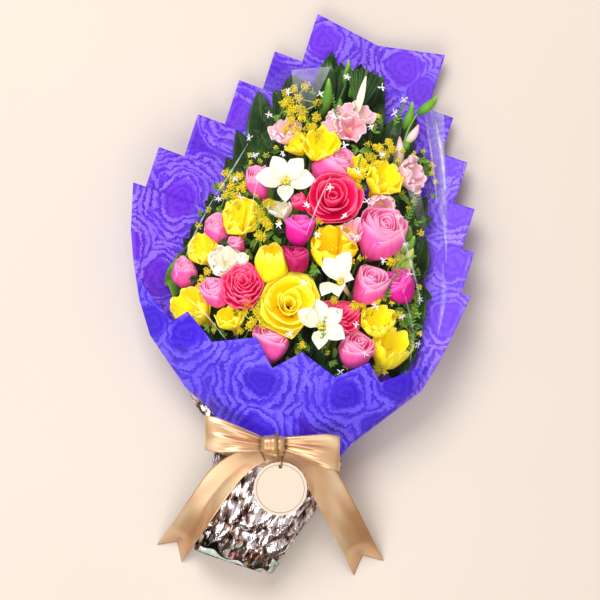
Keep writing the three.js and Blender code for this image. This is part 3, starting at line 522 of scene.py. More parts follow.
PETALS = {
    "pink": petal_look("pink_petal", "#dc3488", "#f45ca8", "#fcaed4", 0.15),
    "magenta": petal_look("magenta_petal", "#98005e", "#e61c9c", "#f86cc8", 0.1),
    "crimson": petal_look("crimson_petal", "#b00a48", "#f01e6a", "#ff74a2", 0.2),
    "yellow": petal_look("yellow_petal", "#f0b204", "#ffe81a", "#fff766", 0.16, 0.08, 0.06),
    "white": petal_look("white_petal", "#d9de98", "#f5f0de", "#fdfbf2", 0.1, 0.1, 0.05),
    "blush": petal_look("blush_petal", "#ea809c", "#fac4d0", "#feeaee", 0.13, 0.14),
    "wine": petal_look("wine_petal", "#6e0636", "#b50f58", "#d83a80", 0.08),
    "amber": petal_look("amber_petal", "#ee8a04", "#ffdc18", "#fff25a", 0.14, 0.1, 0.06),
    "golden": petal_look("golden_floret", "#b0a010", "#f2d41c", "#fff65c", 0.16, mottled=0.26, soft=0),
    "lime": petal_look("lime_bud", "#6e9420", "#aac838", "#e0ea70", 0.08, mottled=0.25, soft=0),
}
BUD_GREEN = petal_look("bud_green", "#3f7a1c", "#6fa834", "#a8cf62", 0.05, soft=0)
BUD_TINTS = {
    "blush": petal_look("bud_blush", "#b9cf7c", "#f8d6da", "#f6a9bd", 0.1, soft=0),
    "lime": petal_look("bud_cream", "#7ca634", "#c6d66c", "#eef0ae", 0.16, soft=0),
}


def leaf_look(name, dark, light, rib):
    """A leaf with a pale midrib and side veins that slant to its tip."""
    look = Look(name, Roughness=0.42, Subsurface_Weight=0.08, Subsurface_Scale=0.002, Specular_IOR_Level=0.3)
    s, t = look.split(look.place())
    aside = abs(s - 0.5)
    wave = look.math("SINE", (t * 22.0 - aside * 16.0) * (math.pi / 2))
    side = look.ramp(abs(wave), [(0.0, 1.0), (0.16, 0.0)])
    middle = look.ramp(aside, [(0.0, 1.0), (0.035, 0.0)])
    flesh = look.mix(look.ramp(look.noise(40.0, 4.0), [(0.35, 0.0), (0.7, 1.0)]), dark, light)
    flesh = look.mix(side * 0.3, flesh, rib)
    look.set(Base_Color=look.mix(middle * 0.6, flesh, rib))
    look.bump(side + middle, -0.4, 0.0005)
    return look.made


LEAF_DARK = leaf_look("dark_leaf", "#0b270a", "#2b5419", "#557f31")
LEAF_FRESH = leaf_look("fresh_leaf", "#356a14", "#76a82c", "#b2d05a")
LEAF_PALM = leaf_look("palm_leaf", "#1c3c14", "#416c28", "#7f9a50")

# Large printed roses: [place in the picture, radius in picture units, turn].
PRINTED_ROSES = [
    [[180, 198], 50, 0.4], [[160, 278], 46, 2.0], [[189, 334], 46, 1.1], [[262, 380], 50, 3.0],
    [[345, 392], 46, 0.0], [[405, 66], 46, 1.6], [[325, 38], 40, 4.0], [[238, 112], 42, 2.6],
    [[452, 262], 42, 5.0], [[462, 210], 38, 0.9], [[398, 385], 42, 4.4], [[446, 158], 36, 3.4],
    [[446, 320], 42, 2.2], [[150, 322], 40, 5.4],
]
SHEET_OFFSET = 10  # the printed pattern of each sheet starts this far along its coordinate
PRINT_UNIT = 100  # millimetres to one unit of the printed pattern
COLLAR_SHEET = len(SHEETS)
RINGS_A_UNIT = 15  # printed petal edges to one unit of the printed pattern
# Tones of the paper: [on the back sheets, on the collar].
PAPER_FLESH = ("#6838e2", "#5236ea")
PAPER_PALE = ("#9874fe", "#7862fc")
PAPER_SHADE = ("#4a16c0", "#361ab8")
PAPER_HEART = ("#6826d8", "#3610c8")
PAPER_GAP = ("#4a10c0", "#4214b4")


def top_sheet(x, y):
    """Number of the uppermost back sheet at a place."""
    return round((float(stack_top(np.array(x), np.array(y)) - back_height(x, y)) - PAPER) / PAPER_STEP)


def printed_places():
    """The printed roses, each on every sheet that shows near it."""
    found = []
    for at, radius, start in PRINTED_ROSES:
        x, y = from_picture(*at)
        reach = 0.6 * SCALE * radius
        sheets = {top_sheet(x + reach * math.cos(k), y + reach * math.sin(k)) for k in range(6)}
        if y < read(ZIGZAG, x, 1):
            sheets = {COLLAR_SHEET}
        found += [[sheet, (x, y), radius, start] for sheet in sorted(sheets)]
    return found


def nearest_rose(look, place):
    """Distance to the nearest printed rose as a share of its size, with its centre and its turn."""
    inputs = {"Vector": place, "Scale": 1.15, "Randomness": 0.75}
    cells = look.add("TexVoronoi", inputs, voronoi_dimensions="2D")
    nearest, colour, centre = (Signal(look, cells.outputs[key]) for key in ("Distance", "Color", "Position"))
    turn = look.split(colour)[0] * 6.3
    for sheet, (x, y), radius, start in printed_places():
        spot = (x / PRINT_UNIT + SHEET_OFFSET * sheet, y / PRINT_UNIT, 0)
        share = look.vector("DISTANCE", place, spot, 1) * (0.45 * PRINT_UNIT / (SCALE * radius))
        nearer = look.math("LESS_THAN", share, nearest)
        nearest = look.math("MINIMUM", share, nearest)
        centre = look.mix(nearer, centre, spot, kind="VECTOR")
        turn = nearer * start + turn
    return nearest, centre, turn


def ragged(look, place, scale, detail, reach, roughness=0.5):
    """A small random shift that varies from place to place."""
    noise = look.noise(scale, detail, place, 1, roughness)
    return look.vector("MULTIPLY", look.vector("SUBTRACT", noise, (0.5, 0.5, 0.5)), (reach, reach, 0))


def paper_look():
    """Violet paper printed with large rose heads: pale ragged petal edges, each with a shadow beyond it. Over
    the print come painted light on the back sheets' right side and a painted glow over all the paper.
    """
    look = Look("printed_paper", Roughness=0.48, Specular_IOR_Level=0.25)
    place = look.place()
    nearest, centre, turn = nearest_rose(look, place)
    coarse = ragged(look, place, 4.0, 2.0, 0.16)
    fine = ragged(look, place, 38.0, 3.0, 0.085, 0.65)
    shift = look.vector("ADD", coarse, fine)
    x, y = look.split(look.vector("ADD", look.vector("SUBTRACT", place, centre), shift))
    angle = look.math("ARCTAN2", y, x) + turn
    away = look.math("SQRT", x * x + y * y)
    collar = look.math("GREATER_THAN", look.split(place)[0], (COLLAR_SHEET - 0.5) * SHEET_OFFSET)

    rounds = away * (RINGS_A_UNIT - collar * 2.5) + angle / (2 * math.pi)
    lobes = abs(look.math("SINE", angle * 1.5)) * 0.35
    petal = look.math("FRACT", rounds + lobes + (look.noise(5.0, 1.0, place) - 0.5) * 1.5)
    along = look.node("CombineXYZ", {"X": angle * 1.6, "Y": away * 42.0})
    reach = (look.noise(7.0, 2.0, place) - 0.5) * 1.5 + (look.noise(1.0, 2.0, along) - 0.5) * 1.1
    edge = look.ramp(petal + reach, [(0.4, 0.0), (0.52, 0.75), (0.85, 1.0)])
    edge = edge * look.ramp(petal, [(0.93, 1.0), (1.0, 0.0)])
    calm = look.ramp(look.noise(2.6, 2.0, place), [(0.38, 0.6), (0.6, 1.0)])
    heart = look.ramp(away + reach * 0.03, [(0.14, 1.0), (0.18, 0.0)])
    light = edge * calm * (1.0 - heart * 0.6)
    shadow = look.ramp(petal, [(0.0, 1.0), (0.12, 0.85), (0.4, 0.0)]) * calm
    gap = look.ramp(nearest + (petal - 0.5) * 0.08, [(0.47, 0.0), (0.5, 0.8)])
    # Painted light: the back sheets turn lighter towards their right side.
    right = look.ramp(look.split(look.body())[0], [(0.04, 0.0), (0.12, 0.34)]) * (1.0 - collar)

    colour = look.mix(light, look.mix(collar, *PAPER_FLESH), look.mix(collar, *PAPER_PALE))
    colour = look.mix(shadow * 0.9, colour, look.mix(collar, *PAPER_SHADE))
    colour = look.mix(heart * 0.7, colour, look.mix(collar, *PAPER_HEART))
    colour = look.mix(gap, colour, look.mix(collar, *PAPER_GAP))
    # Painted light on the right side of the back sheets, laid over the print.
    colour = look.mix(right, colour, look.mix(light, "#7c60e6", "#a890f6"))
    colour = look.dimmed(colour, look.noise(2.2, 4.0, place), [(0.3, 0.88), (0.7, 1.0)])
    # The emission is painted light: the paper glows a little in its own colour.
    look.set(Base_Color=colour, Emission_Color=colour, Emission_Strength=0.14)
    look.bump(look.noise(900.0, 2.0), 0.15, 0.0001)
    return look.made


def satin_look():
    """Champagne satin: a soft gleam over a fine twill, with slow changes of tone along the ribbon that are
    painted sheen and shade.
    """
    look = Look("champagne_satin", Roughness=0.27, Metallic=0.42, Anisotropic=0.4)
    look.set(Sheen_Weight=0.1, Sheen_Roughness=0.3, Specular_IOR_Level=0.8)
    place = look.place()
    thread = look.node("TexWave", {"Vector": place, "Scale": 60.0, "Distortion": 1.0, "Detail": 2.0})
    # Painted sheen and shade: the ribbon turns lighter and darker along its length.
    tone = look.noise(1.0, 1.0, look.stretched(place, (1.3, 0.5, 1)))
    body = look.ramp(tone, [(0.35, "#bf9064"), (0.5, "#d6af85"), (0.65, "#ecd0ac")])
    look.set(Base_Color=look.mix(thread * 0.06, body, "#a87c50"))
    look.bump(thread, 0.08, 0.0001)
    return look.made


# Painted reflections and highlights on the foil: dark brown, mauve and white.
FOIL_PAINTED_REFLECTIONS = [
    (0.32, "#3c2c26"), (0.42, "#8f7a74"), (0.5, "#d8cfd4"),
    (0.6, "#ffffff"), (0.68, "#c8b8d6"), (0.76, "#8c7468"),
]
# Painted reflections and shade near the foil's foot: the flowers and leaves that it mirrors, dark pits and a
# white highlight.
FOIL_PAINTED_FOOT_REFLECTIONS = [(0.4, "#241a14"), (0.5, "#4a4a20"), (0.58, "#7a3440"), (0.64, "#2a201a"), (0.75, "#ffffff")]


def foil_look():
    """Crumpled silver foil, its colour painted with reflections: brown, mauve and white patches over the
    sleeve, and painted reflections of flowers and leaves towards its foot.
    """
    look = Look("crumpled_foil", Roughness=0.1, Metallic=1.0)
    body = look.body()
    # Painted reflections: patches of brown, mauve and white over the whole foil.
    painted_reflection = look.ramp(look.noise(1.0, 3.0, look.stretched(body, (150, 70, 150))), FOIL_PAINTED_REFLECTIONS)
    # Towards the foot the colour turns to painted reflections of flowers and leaves, with painted shade in
    # dark pits.
    low = look.ramp(look.split(look.place())[1], [(0.1, 0.9), (0.2, 0.0)])
    look.set(Base_Color=look.mix(low, painted_reflection, look.ramp(look.noise(95.0, 2.0), FOIL_PAINTED_FOOT_REFLECTIONS)))
    creases = look.node("TexVoronoi", {"Vector": look.stretched(body, (1, 0.55, 1)), "Scale": 85.0})
    facets = look.node("TexVoronoi", {"Vector": look.stretched(body, (1, 0.7, 1)), "Scale": 42.0})
    look.bump(creases * 0.6 + facets, 0.6, 0.006)
    return look.made


def film_look():
    """Clear film: all but invisible face on, glossy at a slant."""
    look = Look("clear_film", Roughness=0.05, Specular_IOR_Level=1.0, Base_Color=rgb("#eceaff"))
    facing = look.node("LayerWeight", {"Blend": 0.3}, out=1)
    look.set(Alpha=look.ramp(facing, [(0.0, 0.0), (0.35, 0.01), (0.7, 0.12), (1.0, 0.5)]))
    return look.made


def glint_look():
    """A painted highlight along a crease of the film: brightest along its middle, and glowing a little."""
    white = rgb("#ffffff")
    look = Look("film_glint", Roughness=0.1, Base_Color=white, Emission_Color=white, Emission_Strength=0.25)
    s = look.split(look.place())[0]
    strength = look.math("FLOOR", s)
    middle = 1.0 - 2.0 * abs(abs(s - strength) - 0.5)
    look.set(Alpha=middle * (strength * 0.01) * look.ramp(look.noise(120.0), [(0.3, 0.35), (0.6, 1.0)]))
    return look.made


def fold_and_highlight_look():
    """Film folded over itself, whitened partly by its double layer and partly by a painted highlight: as
    clear as its marks say.
    """
    look = Look("film_fold", Roughness=0.1, Base_Color=rgb("#f2f0ff"))
    patches = look.ramp(look.noise(60.0), [(0.35, 0.5), (0.65, 1.0)])
    look.set(Alpha=look.split(look.place())[1] * patches)
    return look.made


def mottled_look(name, roughness, scale, stops, detail=3.0, **settings):
    """A plain surface that varies a little in tone."""
    look = Look(name, Roughness=roughness, **settings)
    tone = look.noise(scale, detail)
    look.set(Base_Color=look.ramp(tone, stops))
    return look, tone


def card_look():
    look, fibre = mottled_look(
        "cream_card", 0.75, 700.0, [(0.3, "#d3c3b2"), (0.7, "#dccebe")], 4.0, Specular_IOR_Level=0.2
    )
    look.bump(fibre, 0.2, 0.0001)
    return look.made


def stem_look():
    look = Look("green_stem", Roughness=0.5)
    cloud = look.noise(1.0, 3.0, look.stretched(look.body(), (90, 12, 90)))
    look.set(Base_Color=look.ramp(cloud, [(0.3, "#3c6420"), (0.55, "#6b9534"), (0.75, "#90b450")]))
    look.bump(cloud, 0.3, 0.0004)
    return look.made


def cord_look():
    look = Look("gold_string", Roughness=0.35, Metallic=0.6)
    twist = look.node("TexWave", {"Vector": look.place(), "Scale": 14.0}, bands_direction="DIAGONAL")
    look.set(Base_Color=look.ramp(twist, [(0.2, "#a87418"), (0.7, "#f2c65a")]))
    look.bump(twist, 0.8, 0.0006)
    return look.made


PAPER_LOOK = paper_look()
SATIN = satin_look()
FOIL_LOOK = foil_look()
FILM_LOOK = film_look()
GLINT_LOOK = glint_look()
FOLD_AND_HIGHLIGHT_LOOK = fold_and_highlight_look()
CARD = card_look()
STEM = stem_look()
CORD_LOOK = cord_look()
FILM_INK = mottled_look("white_ink", 0.5, 800.0, [(0.3, "#d6d6ea"), (0.6, "#f6f6ff")])[0].made
RING_INK = mottled_look("thin_ring", 0.6, 500.0, [(0.3, "#6b5a44"), (0.7, "#8a7658")])[0].made
FLOOR_LOOK = mottled_look("pale_floor", 0.9, 1.5, [(0.3, "#d3cabf"), (0.7, "#d7cec4")])[0].made
HEM_LOOK = mottled_look(
    "clear_hem", 0.25, 160.0, [(0.35, "#8fa39a"), (0.55, "#bccac2"), (0.7, "#dde6df")]
)[0].made


# ---- room for each bloom: flat planes halfway to its neighbours, the film above, the leaves below ----
class Site:
    """A bloom or a floret of a spray: its middle, reach and, for a bloom, the way it faces."""

    def __init__(self, node, look, centre, radius):
        self.node = node
        self.look = look
        self.centre = centre
        self.radius = radius

    def facing(self, kind, facing, tilt, spin):
        turn = math.radians(facing) - LEAN
        lean = math.radians(tilt)
        self.kind = kind
        aside = math.sin(lean)
        self.way = np.array([math.sin(turn) * aside, math.cos(turn) * aside, math.cos(lean)])
        self.e1 = unit(np.array([1.0, 0, 0]) - self.way[0] * self.way)
        self.e2 = np.cross(self.way, self.e1)
        self.spin = spin
        return self

    def head(self):
        """The middle of the open head."""
        return self.centre + 0.3 * self.radius * self.way

    def at(self, radius, turn, height):
        """Points from polar places in shares of the reach."""
        radius, turn, height = np.broadcast_arrays(radius, turn, height)
        flat = radius * np.cos(turn + self.spin), radius * np.sin(turn + self.spin)
        return self.centre + self.radius * (
            flat[0][..., None] * self.e1 + flat[1][..., None] * self.e2 + height[..., None] * self.way
        )


def make_sites():
    heads = []
    for index, (node, kind, look, at, size, facing, tilt, deep) in enumerate(HEADS):
        x, y = from_picture(*at)
        radius = FULLNESS * SCALE * size / 2
        z = film_height(x, y) - 4 - 0.6 * radius - deep
        site = Site(node, look, np.array([x, y, z]), radius)
        heads.append(site.facing(kind, facing, tilt, 0.7 * index))
    sprays = []
    for node, look, size, line, deep in SPRAYS:
        for at in line:
            x, y = from_picture(*at)
            sprays.append(Site(node, look, np.array([x, y, film_height(x, y) - 7 - deep]), SCALE * size / 2))
    return heads, sprays


HEAD_SITES, SPRAY_SITES = make_sites()
ALL_SITES = HEAD_SITES + SPRAY_SITES


def room_along(site, rays):
    """Share of the way from a site's middle to a point at which its room ends."""
    room = np.full(len(rays), 4.0)
    for other in ALL_SITES:
        if other is site:
            continue
        gap = other.centre - site.centre
        distance = np.linalg.norm(gap)
        facing = rays @ gap / distance
        own = (distance**2 + site.radius**2 - other.radius**2) / (2 * distance)
        plane = max(own, 0.25 * distance) - CELL_GAP
        room = np.where(facing > 1e-9, np.minimum(room, plane / np.maximum(facing, 1e-9)), room)
    low = np.zeros(len(rays))
    high = room.copy()

    def free(t):
        p = site.centre + rays * t[:, None]
        ceiling = film_height(p[:, 0], p[:, 1]) - FILM_CLEAR - LOWERED.get(site.node, 0)
        floor = stack_top(p[:, 0], p[:, 1]) + BLOOM_FLOOR
        return (p[:, 2] < ceiling) & (p[:, 2] > floor)

    whole = free(high)
    for _ in range(12):
        middle = (low + high) / 2
        inside = free(middle)
        low = np.where(inside, middle, low)
        high = np.where(inside, high, middle)
    return np.where(whole, room, low)


def bend(site, points):
    """Bends a bloom's points in softly, so that they stay inside its room."""
    flat = points.reshape(-1, 3)
    rays = flat - site.centre
    room = np.maximum(room_along(site, rays), 1e-3)
    filled = 1 / room
    rest = 1 - SOFT_FROM
    kept = SOFT_FROM + rest * (1 - np.exp(-(filled - SOFT_FROM) / rest))
    share = np.where(filled <= SOFT_FROM, 1.0, kept * room)
    return (site.centre + rays * share[:, None]).reshape(points.shape)


def fill(site):
    """Share of its reach that a bloom can fill all round without pressing on its neighbours."""
    rays = site.at(1.0, turns(24), 0.2) - site.centre
    return float(np.clip(np.percentile(room_along(site, rays), 40) * 1.06, 0.72, 1.0))


# ---- petals ----
def cup_petal(
    site, shape, rng, turn, spread, rim, foot, top, roll, point=0.06, frill=0.0, tuck=0.05, belly=0.0
):
    """A petal that rises from the bloom's foot, swells out to its rim and rolls back there.
    turn and spread are angles; rim, foot, top and roll are shares of the bloom's reach."""
    s = over(-1, 1, 11)
    t = down(0, 1, 11)
    phase = rng.uniform(0, 6.28)
    up = t * (1 - 0.26 * np.abs(s) ** 2.6)
    wide = 0.3 + 0.7 * np.sin(np.minimum(1, 1.25 * t) * math.pi / 2)
    rolled = smooth_step(up, 0.72, 1.0)
    wave = frill * rolled * np.sin(5.5 * s + phase)
    radius = 0.1 + (rim - 0.1) * np.sin(up * math.pi / 2) ** 0.85 + belly * np.sin(math.pi * up**1.15)
    radius = radius + roll * rolled + tuck * s * t + 0.5 * wave + 0.012 * np.sin(3 * s + phase) * t
    height = foot + (top - foot) * up - 0.45 * roll * rolled * s**2 + wave
    height = height + point * smooth_step(up, 0.8, 1.0) * np.maximum(0, 1 - 2.2 * np.abs(s))
    shape.grid(bend(site, site.at(radius, turn + spread * s * wide, height)))


def rose_of(rings, site, shape, rng):
    """A rose in rings of overlapping petals, from the heart out. A ring is [petals, rim, foot, top, roll,
    belly, frill]."""
    open_share = 0.35 + 0.65 * float(site.way[2])
    turn = rng.uniform(0, 6.28)
    for petals, rim, foot, top, roll, belly, frill in rings:
        rim = rim * (0.86 + 0.14 * open_share)
        wind = 0.05 if rng.random() < 0.6 else -0.04
        for k in range(petals):
            at = turn + 2 * math.pi * (k + rng.uniform(-0.16, 0.16)) / petals
            spread = math.pi / petals * rng.uniform(1.35, 1.6)
            height = top * rng.uniform(0.88, 1.06)
            width = rim * rng.uniform(0.88, 1.1)
            cup_petal(site, shape, rng, at, spread, width, foot, height, roll, 0.06, frill, wind, belly)
        turn += rng.uniform(1.6, 3.0)


OPEN_ROSE = [
    [2, 0.13, -0.57, 0.6, 0.0, 0.02, 0.02], [3, 0.27, -0.58, 0.68, 0.03, 0.04, 0.04],
    [3, 0.44, -0.59, 0.66, 0.1, 0.06, 0.06], [4, 0.66, -0.6, 0.56, 0.18, 0.08, 0.08],
    [5, 0.92, -0.62, 0.32, 0.22, 0.05, 0.09],
]
LOOSE_ROSE = [
    [2, 0.12, -0.5, 0.34, 0.05, 0.03, 0.03], [3, 0.26, -0.55, 0.44, 0.1, 0.06, 0.05],
    [3, 0.48, -0.6, 0.5, 0.2, 0.1, 0.06], [3, 0.76, -0.61, 0.42, 0.28, 0.1, 0.07],
    [5, 1.0, -0.62, 0.16, 0.16, 0.03, 0.07],
]
GOBLET = [
    [2, 0.09, -0.3, 0.66, 0.0, 0.0, 0.01], [2, 0.18, -0.4, 0.7, 0.02, 0.03, 0.01],
    [3, 0.28, -0.5, 0.7, 0.04, 0.06, 0.01], [3, 0.38, -0.7, 0.76, 0.07, 0.12, 0.015],
    [3, 0.47, -0.95, 0.8, 0.16, 0.2, 0.035], [3, 0.54, -1.04, 0.74, 0.3, 0.27, 0.05],
]


def rose(site, shape, rng):
    rose_of(LOOSE_ROSE if site.look == "yellow" else OPEN_ROSE, site, shape, rng)


def goblet(site, shape, rng):
    """A half-open rose: broad smooth petals rise from a narrow foot round a tight swirl."""
    rose_of(GOBLET, site, shape, rng)


# Rings of a frilled rose and of a closed bud: [petals, rim, top].
FRILLS = [
    [3, 0.12, 0.66], [5, 0.26, 0.7], [7, 0.42, 0.66], [8, 0.58, 0.58], [9, 0.76, 0.46], [10, 0.92, 0.32],
]
WRAPPED = [[2, 0.2, 0.88], [3, 0.42, 0.86], [3, 0.66, 0.74]]


def frilled_rose(site, shape, rng):
    """A small carnation-like rose of many ruffled petals."""
    for ring, (petals, rim, top) in enumerate(FRILLS):
        for k in range(petals):
            at = 0.9 * ring + 2 * math.pi * (k + rng.uniform(-0.15, 0.15)) / petals
            height = top + rng.uniform(-0.04, 0.04)
            cup_petal(site, shape, rng, at, math.pi / petals * 1.5, rim, -0.6, height, 0.1, 0.0, 0.07)


def bud(site, shape, rng):
    """A closed bud: petals wrapped tightly round each other."""
    for ring, (petals, rim, top) in enumerate(WRAPPED):
        for k in range(petals):
            at = 1.3 * ring + 2 * math.pi * k / petals
            cup_petal(site, shape, rng, at, math.pi / petals * 1.5, rim, -1.05, top, -0.06, 0.05, tuck=0.07)


def under_film(_, points):
    """Keeps a bloom that lies over its neighbours under the film."""
    points = points.copy()
    points[..., 2] = np.minimum(points[..., 2], film_height(points[..., 0], points[..., 1]) - FILM_CLEAR)
    return points


def flared_petal(site, shape, turn, spread, profile, rng, crinkle=0.03, held=bend):
    """A petal of a funnel-shaped flower. profile rows are [share of its length, radius, height, width]."""
    s = over(-1, 1, 13)
    t = down(0, 1, 15)
    radius, height, wide = (read(profile, t, column) for column in (1, 2, 3))
    phase = rng.uniform(0, 6.28)
    shorter = 0.18 * np.abs(s) ** 2 * smooth_step(t, 0.55, 1.0)
    side = spread * s * wide
    cup = 0.09 * np.abs(s) ** 1.5 * smooth_step(t, 0.3, 0.8)
    edge = smooth_step(t, 0.45, 1.0)
    ripple = crinkle * np.sin(5 * s + phase) * edge + 0.6 * crinkle * np.sin(7 * t + 3 * s + phase) * edge
    groove = -0.05 * np.exp(-((s / 0.16) ** 2)) * smooth_step(t, 0.2, 0.6) * (1 - smooth_step(t, 0.8, 1.0))
    shape.grid(held(site, site.at(radius * (1 - shorter), turn + side, height + cup + ripple + groove)))


FUNNEL = [
    [0.0, 0.09, -1.25, 0.9], [0.26, 0.2, -0.7, 0.95], [0.44, 0.5, -0.34, 1.05], [0.64, 0.82, 0.02, 1.1],
    [0.82, 0.98, 0.26, 1.0], [0.94, 1.05, 0.3, 0.78], [1.0, 1.08, 0.22, 0.46],
]
OPEN_STAR = [
    [0.0, 0.07, -0.95, 0.9], [0.18, 0.1, -0.4, 0.9], [0.28, 0.16, -0.1, 0.9], [0.5, 0.42, 0.04, 1.2],
    [0.72, 0.74, 0.13, 0.88], [0.86, 0.93, 0.12, 0.7], [0.95, 1.04, 0.08, 0.46], [1.0, 1.09, 0.03, 0.16],
]
TALL_CUP = [
    [0.0, 0.1, -1.2, 0.7], [0.2, 0.52, -0.95, 1.0], [0.5, 0.74, -0.3, 1.1], [0.8, 0.66, 0.5, 1.0],
    [0.93, 0.52, 0.82, 0.66], [1.0, 0.46, 0.98, 0.15],
]


# Numbers of the looks of a bloom's piece, after its petals.
STAMEN = 1
GREEN = 2


def stamens(site, shape, count, reach, top):
    """Short threads with a bead at the end of each."""
    for k in range(count):
        bead(shape, site.at(reach, 2 * math.pi * k / count, top), 0.045 * site.radius, STAMEN)


def bead(shape, centre, radius, look=0, way=(0, 0, 1), long=1.0, sides=6):
    """A small round body."""
    way = unit(np.array(way))
    e1 = unit(np.cross(way, [0.31, 0.95, 0.1]))
    e2 = np.cross(way, e1)
    turn = turns(sides)[None, :, None]
    lift = np.linspace(0.06, math.pi - 0.06, 5)[:, None, None]
    ring = np.sin(lift) * (np.cos(turn) * e1 + np.sin(turn) * e2) - long * np.cos(lift) * way
    shape.grid(np.array(centre) + radius * ring, look, loop=True)


def lengthened(profile, reach, lift=0.0):
    """A profile with its tip further out and higher, in shares."""
    return [[t, r * (1 + (reach - 1) * t), h + lift * t, w] for t, r, h, w in profile]


def funnel(site, shape, rng):
    """A freesia: three broad outer lobes and three inner ones, uneven and ruffled."""
    share = fill(site)
    for k in range(6):
        inner = k % 2
        reach = rng.uniform(0.88, 1.05) * (0.93 if inner else 1.0) * share
        lift = rng.uniform(-0.08, 0.1) + (0.1 if inner else 0.0)
        turn = 2 * math.pi * k / 6 + rng.uniform(-0.14, 0.14)
        spread = rng.uniform(0.62, 0.8)
        flared_petal(site, shape, turn, spread, lengthened(FUNNEL, reach, lift), rng, crinkle=0.1)
    if site.radius > 16:
        for k in range(3):
            profile = [[t, 0.6 * r * (1 + 0.1 * t), h + 0.2 * t, w] for t, r, h, w in FUNNEL]
            flared_petal(site, shape, 2.1 * k + rng.uniform(-0.4, 0.4), 0.8, profile, rng, crinkle=0.13)
    stamens(site, shape, 3, 0.08, 0.1)


# Small freesias that share the room of one bloom: [place in the picture, share of its reach, facing, tilt].
CLUSTERS = {
    "freesia_blush_1": [
        [[334, 127], 0.5, -60, 50], [[350, 130], 0.56, 10, 30],
        [[346, 115], 0.46, -10, 50], [[362, 116], 0.5, 40, 62],
    ],
}


def cluster(site, shape, rng):
    def in_room(_, points):
        return bend(site, points)

    for at, share, facing, tilt in CLUSTERS[site.node]:
        centre = np.array([*from_picture(*at), site.centre[2] + 0.12 * site.radius])
        part = Site(site.node, site.look, centre, share * site.radius)
        part.facing("trumpet", facing, tilt, rng.uniform(0, 6))
        for k in range(6):
            profile = lengthened(FUNNEL, rng.uniform(0.85, 1.08))
            turn = 2 * math.pi * k / 6 + rng.uniform(-0.14, 0.14)
            flared_petal(part, shape, turn, 0.7, profile, rng, 0.1, in_room)
        stamens(part, shape, 3, 0.08, 0.1)


# Petal tips of the open white freesias in the picture.
STAR_TIPS = {
    "freesia_white_1": [[274, 161], [302, 164], [314, 185], [286, 206], [258, 181]],
    "freesia_white_2": [[327, 262], [352, 260], [359, 290], [347, 308], [329, 304]],
    "freesia_white_3": [[317, 302], [299, 314], [340, 312], [342, 340], [318, 350]],
}


def star(site, shape, rng):
    """An open star: broad petals that overlap at their feet and taper to their tips."""
    for k, tip in enumerate(STAR_TIPS[site.node]):
        x, y = from_picture(*tip)
        out = np.array([x, y, site.centre[2]]) - site.centre
        turn = math.atan2(out @ site.e2, out @ site.e1) - site.spin
        reach = min(1.25, math.hypot(out @ site.e2, out @ site.e1) / site.radius)
        lift = 0.6 if site.node == "freesia_white_2" else 0.3
        profile = [[t, r * reach, h + lift * t + 0.05 * (k % 2), w] for t, r, h, w in OPEN_STAR]
        flared_petal(site, shape, turn, 0.62, profile, rng, crinkle=0.015, held=under_film)
    stamens(site, shape, 5, 0.07, 0.16)


def tall_cup(site, shape, rng):
    for k in range(6):
        reach = (0.86 if k % 2 else 1.0) * rng.uniform(0.92, 1.08)
        flare = 0.3 * rng.random()
        profile = [[t, r * reach + flare * t**4, h - 0.3 * flare * t**4, w] for t, r, h, w in TALL_CUP]
        flared_petal(site, shape, 2 * math.pi * k / 6, 0.66, profile, rng, crinkle=0.06)


def calyx(site, shape):
    """Green sepals under a bloom."""
    foot, wide = (-1.08, 0.22) if site.kind in ("goblet", "bud") else (-0.66, 0.4)
    t = down(0, 1, 5)
    s = over(-1, 1, 3)
    for k in range(5):
        turn = 2 * math.pi * k / 5 + 0.34 * s * (1 - t) ** 0.7
        shape.grid(bend(site, site.at(0.1 + wide * t, turn, foot + 0.34 * t**1.5)), GREEN)


HEAD_KINDS = {"rose": rose, "bud": bud, "trumpet": funnel, "star": star, "cup": tall_cup, "goblet": goblet}
DEEPER = {"rose_crimson_2": "wine", "freesia_yellow_4": "amber"}  # blooms of a deeper tone than their kind
FRILLED = ("rose_hotpink_1", "rose_hotpink_2")


def blooms():
    for node in dict.fromkeys(site.node for site in HEAD_SITES):
        group = [site for site in HEAD_SITES if site.node == node]
        shape = Shape()
        for number, site in enumerate(group):
            rng = np.random.default_rng(100 + HEAD_SITES.index(site))
            kind = frilled_rose if node in FRILLED else HEAD_KINDS[site.kind]
            kind = cluster if node in CLUSTERS and number == 0 else kind
            kind(site, shape, rng)
            if site.kind in ("rose", "bud", "goblet"):
                calyx(site, shape)
            else:
                bead(shape, site.at(0, 0, -1.2), 0.12 * site.radius, GREEN, site.way, 1.6)
        look = group[0].look
        looks = [PETALS[DEEPER.get(node, look)], PETALS["golden"], STEM]
        piece("bloom_" + node, shape, looks, look, [node], thickness=0.35)


blooms()


# ---- sprays of small florets and buds ----
def tube(shape, points, radii, look=0, sides=7):
    """A round tube along a line of points, closed by its own narrowing."""
    points = np.array(points, dtype=float)
    side = np.array([0.97, 0.1, 0.2])
    turn = turns(sides)[:, None]
    rings = []
    for point, way, radius in zip(points, ways_along(points), np.broadcast_to(radii, len(points))):
        e1 = unit(side - side @ way * way)
        e2 = np.cross(way, e1)
        rings.append(point + radius * (np.cos(turn) * e1 + np.sin(turn) * e2))
    shape.grid(np.array(rings), look, loop=True)


def tuft(centre, radius, shape, rng, count=100, green=0.14):
    """One cluster of a goldenrod spray: tiny pointed florets facing all ways."""
    for _ in range(count):
        way = rng.normal(size=3)
        way[2] = abs(way[2]) * 1.2
        way = unit(way)
        middle = centre + radius * rng.uniform(0.3, 1.2) * way * [1, 1, 0.8]
        size = rng.uniform(0.4, 0.78)
        look = int(rng.random() < green)
        bead(shape, middle, size, look, way, rng.uniform(1.0, 1.7), 5)


